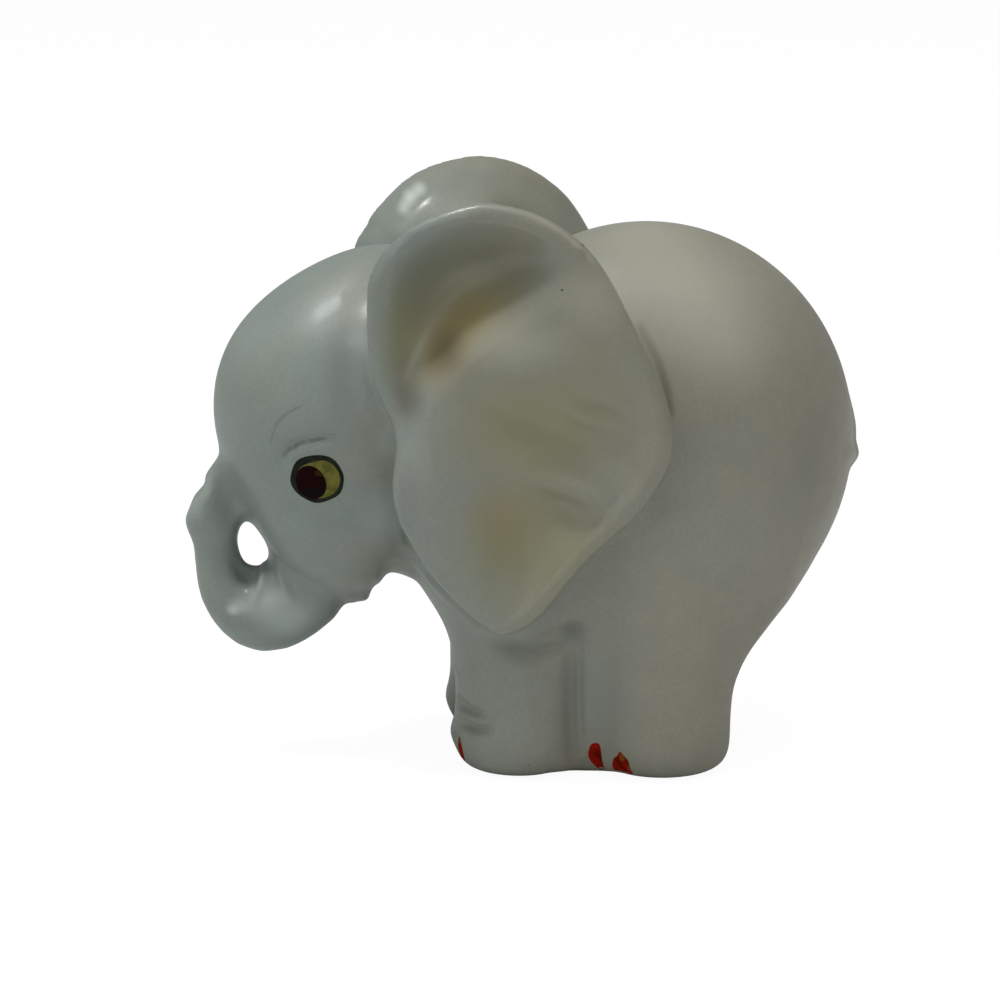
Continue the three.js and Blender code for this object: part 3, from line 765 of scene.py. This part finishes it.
# Areas of the photograph that are sponged smooth: corners and soft border in pixels
areas = {
    "hollow": {
        "corners": [
            (386, 266), (401, 243), (428, 227), (462, 221), (500, 223), (534, 232), (558, 246),
            (570, 261), (568, 276), (547, 286), (512, 308), (472, 326), (445, 360), (427, 384),
            (414, 414), (405, 429), (394, 420), (383, 393), (377, 356), (377, 310),
        ],
        "soft": 12, "rounds": 200,
    },
    "helixFoot": {
        "corners": [
            (342, 264), (344, 300), (347, 340), (352, 380), (362, 420), (378, 450), (396, 446),
            (392, 405), (386, 370), (383, 330), (383, 290), (388, 262), (376, 246), (360, 244),
        ],
        "soft": 6, "rounds": 240,
    },
    "lobe": {
        "corners": [
            (412, 425), (430, 392), (448, 367), (474, 336), (514, 317), (550, 294), (585, 284),
            (610, 300), (638, 350), (656, 410), (657, 450), (636, 486), (598, 520), (566, 556),
            (541, 590), (518, 612), (502, 618), (480, 606), (452, 580), (428, 553), (410, 525),
            (403, 490), (404, 450),
        ],
        "soft": 12, "rounds": 120,
    },
    "fold": {
        "corners": [
            (588, 252), (560, 244), (520, 250), (480, 272), (442, 310), (416, 350), (402, 390),
            (398, 428), (420, 440), (440, 404), (472, 364), (512, 338), (552, 315), (604, 288),
        ],
        "soft": 12, "rounds": 220,
    },
    "legGap": {
        "corners": [(552, 630), (552, 757), (614, 757), (614, 630)],
        "soft": 10, "rounds": 160,
    },
}
bowl = {   # the hollow, pressed in between the ear's front border and its fold
    "fold": [
        (594, 262), (581, 275), (548, 284), (512, 308), (472, 326), (445, 360), (427, 384),
        (412, 417), (402, 432),
    ],
    "rim": [
        (402, 429), (383, 393), (377, 356), (377, 310), (386, 266), (401, 243), (428, 227),
        (462, 221), (500, 223), (534, 232), (558, 246), (570, 261),
    ],
    "depth": 4.4 * mm,
    "foldReach": 16,            # pixels from the fold to the deep part
    "rimReach": 74,             # pixels from the rim to the deep part
    "flare": 12,                # degrees that the ears open to the front
    "soft": 1,
    "rounds": 120,
    "softLines": [   # sponged once more: line and reach in pixels, rounds
        ([(585, 276), (550, 288), (514, 311), (474, 329), (447, 363), (429, 387), (412, 420)],
         15, 75),
        ([(397, 241), (380, 266), (375, 310), (376, 356), (383, 395), (396, 424)], 12, 70),
        ([(402, 240), (430, 222), (462, 213), (500, 215), (536, 225), (566, 244)], 10, 40),
    ],
}
sideView = {
    "nearReach": 10 * mm,       # how far out of the middle plane an area lies at least
    "facing": 0.05,             # and how much it faces the viewer
}


def lineDistance(pixels, corners):
    best = np.full(len(pixels), np.inf)
    corners = np.array(corners, float)
    for start, end in zip(corners, corners[1:]):
        along = end - start
        share = np.clip((pixels - start) @ along / (along @ along), 0, 1)
        away = pixels - start - share[:, None] * along
        best = np.minimum(best, np.hypot(away[:, 0], away[:, 1]))
    return best


def insideArea(pixels, corners):
    corners = np.array(corners, float)
    inside = np.zeros(len(pixels), bool)
    for start, end in zip(corners, np.roll(corners, -1, axis=0)):
        spans = (start[1] > pixels[:, 1]) != (end[1] > pixels[:, 1])
        rise = (end[1] - start[1]) or 1
        across = start[0] + (pixels[:, 1] - start[1]) / rise * (end[0] - start[0])
        inside ^= spans & (pixels[:, 0] < across)
    return inside


# Both sides of the elephant are looked at as the photograph sees the near one
def sideViews(points, normals):
    for side in (-1, 1):
        flipped = points * (1, -side, 1)
        near = flipped[:, 1] < -sideView["nearReach"]
        index = np.flatnonzero(near & (normals[:, 1] * side > sideView["facing"]))
        yield side, index, toPixels(flipped[index])


def areaWeight(points, normals, corners, soft):
    weight = np.zeros(len(points))
    closed = corners + corners[:1]
    for _, index, pixels in sideViews(points, normals):
        inside = insideArea(pixels, corners)
        weight[index] = inside * smoothStep(0, soft, lineDistance(pixels, closed))
    return weight


def spongeAreas(skin):
    for area in areas.values():
        weight = areaWeight(meshPoints(skin), meshNormals(skin), area["corners"], area["soft"])
        softenClay(skin, weight, area["rounds"])
    print("areas:", len(areas), "sponged")


def pressBowls(skin):
    points, normals = meshPoints(skin), meshNormals(skin)
    corners = areas["hollow"]["corners"]
    flare = math.radians(bowl["flare"])
    moved = points.copy()
    for side, index, pixels in sideViews(points, normals):
        inward = np.array([math.sin(flare), -side * math.cos(flare), 0])
        fold = 1 - np.exp(-lineDistance(pixels, bowl["fold"]) / bowl["foldReach"])
        rim = smoothStep(0, bowl["rimReach"], lineDistance(pixels, bowl["rim"]))
        depth = bowl["depth"] * insideArea(pixels, corners) * fold * rim
        moved[index] += depth[:, None] * inward
    weight = areaWeight(points, normals, corners, bowl["soft"])
    movePoints(skin, moved)
    softenClay(skin, weight, bowl["rounds"])
    for line, reach, rounds in bowl["softLines"]:
        weight = np.zeros(len(points))
        for _, index, pixels in sideViews(points, normals):
            weight[index] = 1 - smoothStep(0, reach, lineDistance(pixels, line))
        softenClay(skin, weight, rounds)
    print("bowls: pressed", round(float(np.abs(moved - points).max() / mm), 2), "mm")


# Strokes of the modelling tool: pixels of the photograph, width in mm, height in mm
strokes = {
    "rimBead": ([
        (410, 556), (436, 588), (478, 627), (503, 633), (528, 613), (556, 576),
    ], 0.8, 0.3),
    "rearFill": ([(625, 340), (645, 390), (648, 440), (628, 480), (590, 515)], 3.2, 0.5),
    "lobeValley": ([(485, 405), (530, 420), (588, 447)], 3.4, -1.5),
    "lowValley": ([(500, 500), (515, 530), (510, 560)], 4.4, -1.7),
    "lowValleyArm": ([(520, 512), (560, 508), (594, 524)], 2.3, -0.9),
    "highValley": ([(548, 372), (575, 392), (606, 414)], 2.8, -0.8),
    "ridgeUpper": ([(575, 416), (632, 430)], 1.7, 1.1),
    "ridgeLower": ([(530, 475), (565, 488), (610, 503)], 1.7, 1.2),
    "helixFill": ([(358, 348), (362, 375), (368, 408)], 2.2, 0.8),
    "lobeFront": ([(410, 445), (400, 490), (405, 525)], 2.4, 0.7),
    "lobeCrease": ([(404, 530), (409, 543), (417, 554)], 0.45, -0.4),
    "lidCrease": ([
        (275, 463), (289, 448), (303, 441.5), (320, 438.5), (340, 437.5),
    ], 0.8, -0.5),
    "lidBand": ([(287, 463), (297, 453), (314, 448), (334, 448)], 0.9, 0.3),
    "mouthShade": ([(300, 572), (330, 572), (365, 569), (388, 567)], 2.6, -0.35),
    "trunkCrease": ([(270, 548), (282, 566), (300, 578), (322, 589)], 1.0, -0.35),
    "trunkRidgeFront": ([(264, 566), (261, 584), (255, 602)], 0.7, 0.7),
    "trunkRidgeBack": ([(277, 566), (284, 584), (291, 602)], 0.7, 0.6),
    "trunkDip": ([(272, 574), (274, 596)], 0.8, -0.4),
    "trunkHollow": ([(236, 562), (244, 576), (256, 582)], 1.3, -0.6),
    "tipBand": ([(214, 468), (202, 490), (191, 512)], 1.3, 0.3),
    "tipValley": ([(222, 480), (224, 505), (222, 530)], 2.0, -0.45),
    "legGroove": ([(580, 625), (580, 690), (582, 772)], 0.5, -0.5),
    "legBand": ([(573, 630), (573, 700), (575, 770)], 1.5, -0.7),
    "earShade": ([(500, 642), (530, 648), (560, 638), (583, 628)], 1.8, -0.9),
    "farLegBulge": ([(449, 655), (449, 680), (452, 702)], 2.2, 0.8),
    "legFold": ([(453, 659), (456, 668), (459, 677)], 0.9, 0.3),
    "legWrinkle": ([(458, 702), (468, 711), (486, 717)], 0.9, -1.0),
    "legWrinkleLow": ([(461, 723), (474, 729), (492, 731)], 0.8, -1.1),
}
modellingTool = {
    "spacing": 2.0,             # pixels between its places along a stroke
    "reach": 3,                 # times the width
    "fade": 0.5,                # power of the rise at both ends
    "grip": 1.5,                # how soon clay that faces another way is left alone
}


def tracePath(tree, corners):
    spots, facings = [], []
    for (x0, y0), (x1, y1) in zip(corners, corners[1:]):
        steps = max(round(math.hypot(x1 - x0, y1 - y0) / modellingTool["spacing"]), 1)
        for step in range(steps):
            share = step / steps
            ray = photoRay((x0 + (x1 - x0) * share, y0 + (y1 - y0) * share))
            spot, facing, _, _ = tree.ray_cast(*ray)
            if spot is not None:
                spots.append(spot)
                facings.append(facing)
    return np.array(spots), np.array(facings)


# A stroke acts only on the side of the clay that it was drawn on
def strokeLift(points, normals, path, facings, width):
    low = path.min(axis=0) - modellingTool["reach"] * width
    high = path.max(axis=0) + modellingTool["reach"] * width
    near = np.flatnonzero(((points > low) & (points < high)).all(axis=1))
    fade = np.sin(np.pi * (np.arange(len(path)) + 1) / (len(path) + 1)) ** modellingTool["fade"]
    best = np.zeros(len(near))
    for spot, facing, share in zip(path, facings, fade):
        away = np.sum((points[near] - spot) ** 2, axis=1)
        same = np.clip(modellingTool["grip"] * normals[near] @ facing, 0, 1)
        best = np.maximum(best, share * same * np.exp(-away / width ** 2))
    lift = np.zeros(len(points))
    lift[near] = best
    return lift


def modelStrokes(skin):
    tree = treeOf(skin)
    points = meshPoints(skin)
    normals = meshNormals(skin)
    push = np.zeros(len(points))
    for corners, width, height in strokes.values():
        path, facings = tracePath(tree, corners)
        near = strokeLift(points, normals, path, facings, width * mm)
        flip = np.array(otherSide)
        far = strokeLift(points, normals, path * flip, facings * flip, width * mm)
        push += height * mm * np.maximum(near, far)
    movePoints(skin, points + normals * push[:, None])
    print("strokes:", len(strokes))


# Places taken hold of and drawn to where the photograph shows them
grabs = {   # pixel, reach and shift in pixels, start out of the middle plane in mm, sides
    # the far ear is taken hold of where the photograph shows it, the rest on both sides alike
    "farEarTop": ((418, 172), 84, (3, 4), 9, (1,)),
    "farEarFoot": ((362, 252), 30, (-8, 0), 9, (1,)),
    "farEarFront": ((422, 178), 58, (-3, -5), 9, (1,)),
    "trunkEye": ((246, 526), 17, (-1, -6), 0, (-1, 1)),
    "trunkNotch": ((201, 492), 15, (4, 0), 0, (-1, 1)),
    "chin": ((366, 594), 13, (1, 4), 0, (-1, 1)),
    "tailTip": ((858, 454), 17, (4, 1), 0, (-1, 1)),
    "chinHollow": ((343, 607), 16, (0, -4), 0, (-1, 1)),
    "throat": ((394, 574), 20, (-5, -5), 0, (-1, 1)),
    "soleArch": ((585, 763), 42, (0, 8), 0, (-1, 1)),
}


def grabClay(skin):
    points = meshPoints(skin)
    floor = points[:, 2].min()
    _, turn = photoStand()
    perPixel = pixelSize(photo["distance"])
    right, up = (np.array(turn @ Vector(way)) * perPixel for way in ((1, 0, 0), (0, 1, 0)))
    for pixel, reach, shift, start, sides in grabs.values():
        for side in sides:
            flip = np.array((1, 1 if len(sides) == 1 else -side, 1))
            out = points[:, 1] * side
            away = np.hypot(*(toPixels(points * flip) - pixel).T)
            weight = (1 - smoothStep(0, reach, away)) * (out >= start * mm)
            points += weight[:, None] * (right * shift[0] - up * shift[1]) * flip
    points[:, 2] = np.maximum(points[:, 2], floor)
    movePoints(skin, points)
    print("grabs:", len(grabs))


# The skin is cut where the castings meet, so that each stays a piece of its own
def countVotes(owner, groups, members, total):
    votes = np.zeros((total, len(clay["castings"])))
    np.add.at(votes, (groups, owner[members]), 1)
    return votes


# Faces cut off from the rest of their casting go to the casting beside them
def absorbIslands(owner, pairs):
    joined = pairs[owner[pairs[:, 0]] == owner[pairs[:, 1]]]
    label = np.arange(len(owner))
    while True:
        new = label.copy()
        np.minimum.at(new, joined[:, 0], label[joined[:, 1]])
        np.minimum.at(new, joined[:, 1], label[joined[:, 0]])
        new = new[new]
        if (new == label).all():
            break
        label = new
    sizes = np.bincount(label, minlength=len(owner))
    largest = {k: np.argmax(np.where(owner == k, sizes[label], 0)) for k in np.unique(owner)}
    main = np.array([label[largest[k]] for k in owner])
    stray = label != main
    for near, far in ((0, 1), (1, 0)):
        edge = pairs[stray[pairs[:, near]] & ~stray[pairs[:, far]]]
        take = dict(zip(label[edge[:, near]], owner[edge[:, far]]))
        for face in np.flatnonzero(stray):
            owner[face] = take.get(label[face], owner[face])
    return owner


# At each corner point a piece may have only one fan of faces
def untieCorners(owner, pairs, ends, corners):
    count = len(clay["castings"])
    points = corners.max() + 1
    for _ in range(clay["untieRounds"]):
        cut = owner[pairs[:, 0]] != owner[pairs[:, 1]]
        sides = np.zeros((points, count))
        for end in (0, 1):
            for face in (0, 1):
                np.add.at(sides, (ends[cut, end], owner[pairs[cut, face]]), 1)
        tied = (sides > 2).any(axis=1)
        if not tied.any():
            break
        faces = np.flatnonzero(tied[corners].any(axis=1))
        near = corners[faces]
        votes = countVotes(owner, near.ravel(), np.repeat(faces, near.shape[1]), points)
        for k in range(near.shape[1]):
            hit = tied[near[:, k]]
            owner[faces[hit]] = np.argmax(votes[near[hit, k]], axis=1)
    return owner


def settleOwner(skin, owner):
    count = len(skin.data.polygons)
    corners = readValues(skin.data.loops, "vertex_index", 1, np.int32).ravel()
    edgeOf = readValues(skin.data.loops, "edge_index", 1, np.int32).ravel()
    face = np.repeat(np.arange(count), 4)
    votes = countVotes(owner, face, corners, count)
    owner = np.argmax(votes, axis=1)
    order = np.argsort(edgeOf, kind="stable")
    pairs = face[order].reshape(-1, 2)
    ends = meshEdges(skin)[edgeOf[order][::2]]
    both = np.r_[pairs, pairs[:, ::-1]]
    for _ in range(clay["ownerRounds"]):
        votes = countVotes(owner, both[:, 0], both[:, 1], count)
        votes[np.arange(count), owner] += clay["ownVote"]
        owner = np.argmax(votes, axis=1)
    for _ in range(clay["settleRounds"]):
        owner = absorbIslands(owner, pairs)
        owner = untieCorners(owner, pairs, ends, corners.reshape(-1, 4))
    return owner


def cutSkin(skin, owner):
    names = clay["castings"]
    skin.data.materials.clear()
    for name in names:
        skin.data.materials.append(bpy.data.materials.new("casting_" + name))
    skin.data.polygons.foreach_set("material_index", owner.astype(np.int32))
    keep = skin.data.attributes.new("skinNormal", "FLOAT_VECTOR", "POINT")
    keep.data.foreach_set("vector", meshNormals(skin).astype(np.float32).ravel())
    editAll(skin, bpy.ops.mesh.separate, type="MATERIAL")
    pieces = {}
    for piece in list(bpy.context.selected_objects):
        index = piece.data.polygons[0].material_index
        slotName = piece.data.materials[index].name
        name = slotName.removeprefix("casting_")
        piece.name = pieceName(name + "_clay")
        closePiece(piece)
        pieces[name] = piece
    for name in names:
        bpy.data.materials.remove(bpy.data.materials["casting_" + name])
    return pieces


# Each open edge is drawn together to a point inside the clay
def closePiece(piece):
    pick(piece)
    bpy.ops.object.mode_set(mode="EDIT")
    bpy.ops.mesh.select_mode(type="EDGE")
    bpy.ops.mesh.select_all(action="DESELECT")
    bpy.ops.mesh.select_non_manifold()
    bpy.ops.mesh.extrude_edges_move()
    bpy.ops.mesh.merge(type="COLLAPSE")
    bpy.ops.mesh.select_mode(type="VERT")
    bpy.ops.mesh.select_all(action="SELECT")
    bpy.ops.mesh.normals_make_consistent(inside=False)
    bpy.ops.object.mode_set(mode="OBJECT")
    bpy.ops.object.shade_smooth()
    attribute = piece.data.attributes["skinNormal"]
    normals = readValues(attribute.data, "vector", 3)
    piece.data.attributes.remove(attribute)
    piece.data.normals_split_custom_set_from_vertices(normals.tolist())
    piece.data.materials.clear()


# Painted patches, each a thin sheet pressed on the skin
paint = {
    "sheet": 0.06 * mm,
    "standOff": 8 * mm,
    "smoothAngle": 50,          # degrees
    "fanSides": 40,
    "fanCuts": 3,
    "ribbonSteps": 24,
    "brushEnds": (0.06, 0.94),  # share of the stroke's swell that is drawn
    "brushTaper": 0.7,
    "liftStep": 0.5,            # pixels, as the spare height over the outline is
    "liftSpare": 1,
}


def closedCurve(corners, count):
    corners = np.array(corners, float)
    total = len(corners)
    out = []
    for k in range(count):
        t = k * total / count
        i, u = int(t), t - int(t)
        a, b, c, d = (corners[(i + j - 1) % total] for j in range(4))
        out.append(0.5 * (
            2 * b + (c - a) * u + (2 * a - 5 * b + 4 * c - d) * u ** 2
            + (3 * b - a - 3 * c + d) * u ** 3
        ))
    return np.array(out)


# Corners that the photograph shows below the clay's outline are moved up onto it
def liftOnto(tree, corners):
    settled = []
    for x, y in corners:
        while spotAt(tree, (x, y)) is None:
            y -= paint["liftStep"]
        settled.append((x, y - paint["liftSpare"]))
    return settled


def photoPlane(tree, pixel):
    stand, turn = photoStand()
    spot = spotAt(tree, pixel)
    back = turn @ Vector((0, 0, 1))
    perPixel = pixelSize((stand - spot).dot(back))
    place = Matrix.Translation(spot + back * paint["standOff"]) @ turn.to_matrix().to_4x4()
    return place, perPixel


def pressSheet(sheet, skin, lift):
    applyModifier(
        sheet, "SHRINKWRAP", target=skin, wrap_method="PROJECT", use_project_z=True,
        use_negative_direction=True, use_positive_direction=False, offset=lift,
    )
    applyModifier(sheet, "SOLIDIFY", thickness=paint["sheet"], offset=-1)
    pick(sheet)
    bpy.ops.object.transform_apply(location=True, rotation=True, scale=True)
    editAll(sheet, bpy.ops.mesh.normals_make_consistent, inside=False)
    bpy.ops.object.shade_smooth_by_angle(angle=math.radians(paint["smoothAngle"]))
    return sheet


def fanSheet(name, place, outline):
    bpy.ops.mesh.primitive_circle_add(vertices=len(outline), fill_type="TRIFAN")
    sheet = bpy.context.object
    sheet.name = name
    middle = outline.mean(axis=0)
    points = meshPoints(sheet)
    rim = np.hypot(points[:, 0], points[:, 1]) > 0.5
    turn = np.argsort(np.arctan2(points[rim][:, 1], points[rim][:, 0]))
    outTurn = np.argsort(np.arctan2(outline[:, 1] - middle[1], outline[:, 0] - middle[0]))
    index = np.flatnonzero(rim)[turn]
    points[index, :2] = outline[outTurn]
    points[~rim, :2] = middle
    movePoints(sheet, points)
    editAll(sheet, bpy.ops.mesh.subdivide, number_cuts=paint["fanCuts"])
    sheet.matrix_world = place
    return sheet


def ribbonSheet(name, place, line, halfWidths):
    steps = len(line)
    bpy.ops.mesh.primitive_grid_add(x_subdivisions=steps - 1, y_subdivisions=2, size=2)
    sheet = bpy.context.object
    sheet.name = name
    points = meshPoints(sheet)
    column = np.round((points[:, 0] + 1) / 2 * (steps - 1)).astype(int)
    along = np.gradient(line, axis=0)
    along /= np.linalg.norm(along, axis=1)[:, None]
    across = np.stack([-along[:, 1], along[:, 0]], axis=1)
    points[:, :2] = line[column] + across[column] * (points[:, 1] * halfWidths[column])[:, None]
    movePoints(sheet, points)
    sheet.matrix_world = place
    return sheet


def mirrorPiece(piece, name):
    copy = piece.copy()
    copy.data = piece.data.copy()
    copy.name = name
    bpy.context.scene.collection.objects.link(copy)
    copy.scale = otherSide
    pick(copy)
    bpy.ops.object.transform_apply(location=True, rotation=True, scale=True)
    editAll(copy, bpy.ops.mesh.normals_make_consistent, inside=False)
    return copy


def pixelsToPlane(corners, pixel, perPixel):
    corners = np.array(corners, float)
    return np.stack([corners[:, 0] - pixel[0], pixel[1] - corners[:, 1]], axis=1) * perPixel


# Outlines of the near side's paint, in pixels of the photograph
eye = {
    "middle": (317, 480),
    "eye_line": [
        (290, 478), (297, 461), (316, 455.5), (333, 459), (343, 473), (343, 486), (337, 496),
        (318, 503), (303, 498), (293, 489),
    ],
    "eye_white": [
        (297.5, 476), (301, 467), (318, 461), (331, 463), (339.5, 474), (339.5, 485),
        (333, 494), (319, 498.5), (306, 493.5), (299, 484),
    ],
    "iris": [
        (295.5, 478), (300, 469), (309, 466), (318, 469.5), (324, 477), (326.5, 487),
        (322, 496), (312, 499), (302, 494), (296.5, 487),
    ],
    "lifts": {"eye_line": 0.07 * mm, "eye_white": 0.14 * mm, "iris": 0.21 * mm},
}
lines = {   # middle line and width in pixels
    "brow": ([(269.5, 444), (270, 437), (276, 422), (283, 415), (291, 410), (301.6, 405)], 3.0),
    # the eyelid's wide line is painted shade along the lid's crease as well as paint
    "eyelid": ([(277, 462), (288, 449.5), (302.7, 442.5), (320, 439), (336, 437)], 11.0),
}
nails = {
    "hind_toenail_1": [
        (590.5, 746), (594, 744), (598.5, 744.5), (600.5, 750), (601.7, 760), (604, 772),
        (600, 771), (594.5, 766.5), (589.5, 760.5), (588.3, 754),
    ],
    "hind_toenail_2": [
        (619.5, 752.5), (624, 757), (628, 762), (630.5, 770), (633, 779.5), (627, 780),
        (619, 778.5), (614.5, 774), (612.5, 767), (613.5, 760), (617, 757),
    ],
}
frontNail = {
    "turn": 71,                 # degrees from the side towards the front
    "standOff": 20 * mm,
    "legX": -0.78 * mm,         # middle of the leg
    "legY": 11 * mm,
    "height": 3.1 * mm,
    "outline": [   # mm from the middle of the nail
        (-0.1, 2.2), (0.35, 1.5), (0.7, 0.2), (0.5, -1.2), (0.0, -1.6), (-0.6, -0.9),
        (-0.8, 0.3), (-0.5, 1.4),
    ],
}


def paintEye(tree, skin):
    place, perPixel = photoPlane(tree, eye["middle"])
    made = {}
    for word, lift in eye["lifts"].items():
        outline = closedCurve(eye[word], paint["fanSides"])
        flat = pixelsToPlane(outline, eye["middle"], perPixel)
        made[word] = pressSheet(fanSheet(pieceName("left_" + word), place, flat), skin, lift)
    return made


def paintLines(tree, skin):
    made = {}
    for word, (corners, width) in lines.items():
        corners = np.array(corners, float)
        reach = np.r_[0, np.cumsum(np.hypot(*np.diff(corners, axis=0).T))]
        steps = np.linspace(0, reach[-1], paint["ribbonSteps"])
        route = np.stack([np.interp(steps, reach, corners[:, k]) for k in (0, 1)], axis=1)
        share = np.sin(np.pi * np.linspace(*paint["brushEnds"], len(route))) ** paint["brushTaper"]
        middle = tuple(corners[len(corners) // 2])
        place, perPixel = photoPlane(tree, middle)
        flat = pixelsToPlane(route, middle, perPixel)
        sheet = ribbonSheet(pieceName("left_" + word), place, flat, share * width / 2 * perPixel)
        made[word] = pressSheet(sheet, skin, paint["sheet"])
    return made


def paintNails(tree, skin):
    made = {}
    for word, corners in nails.items():
        corners = liftOnto(tree, corners)
        middle = tuple(np.mean(corners, axis=0))
        place, perPixel = photoPlane(tree, middle)
        flat = pixelsToPlane(closedCurve(corners, paint["fanSides"]), middle, perPixel)
        made[word] = pressSheet(fanSheet(pieceName("left_" + word), place, flat), skin, paint["sheet"])
    turn = math.radians(frontNail["turn"])
    out = Vector((-math.sin(turn), -math.cos(turn), 0))
    across = Vector((0, 0, 1)).cross(out)
    turned = Matrix((across, Vector((0, 0, 1)), out)).transposed().to_4x4()
    foot = Vector((frontNail["legX"], -frontNail["legY"], frontNail["height"]))
    place = Matrix.Translation(foot + out * frontNail["standOff"]) @ turned
    outline = closedCurve(frontNail["outline"], paint["fanSides"]) * mm
    sheet = fanSheet(pieceName("left_front_toenail_1"), place, outline)
    made["front_toenail_1"] = pressSheet(sheet, skin, paint["sheet"])
    return made


def finishPiece(piece, node, material, slotName):
    piece.data.materials.clear()
    piece.data.materials.append(material)
    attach(piece, "root")
    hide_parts(node)


# Put together
makeCamera()
makeStudio()
skin, owner = makeClay()
pressVent(skin)
spongeAreas(skin)
pressBowls(skin)
modelStrokes(skin)
grabClay(skin)
skinTree = treeOf(skin)
glazes = makeGlazes(skinTree)
paints = makePaints(skinTree)
made = {**paintEye(skinTree, skin), **paintLines(skinTree, skin), **paintNails(skinTree, skin)}
for word, piece in made.items():
    kind = "toenail" if "toenail" in word else word
    slotName = enamels[kind][0] if kind in enamels else "slate"
    mirrored = mirrorPiece(piece, pieceName("right_" + word))
    for side, item in (("left", piece), ("right", mirrored)):
        material = paints[f"{side}_{word}" if word == "iris" else kind]
        finishPiece(item, f"{side}_{word}", material, slotName)
print("paint:", len(made) * 2, "patches")
pieces = cutSkin(skin, settleOwner(skin, owner))
for name, piece in pieces.items():
    finishPiece(piece, name, glazes[name], "glaze")
print("castings:", {name: len(piece.data.polygons) for name, piece in pieces.items()})

bpy.context.scene.view_settings.view_transform = "Standard"
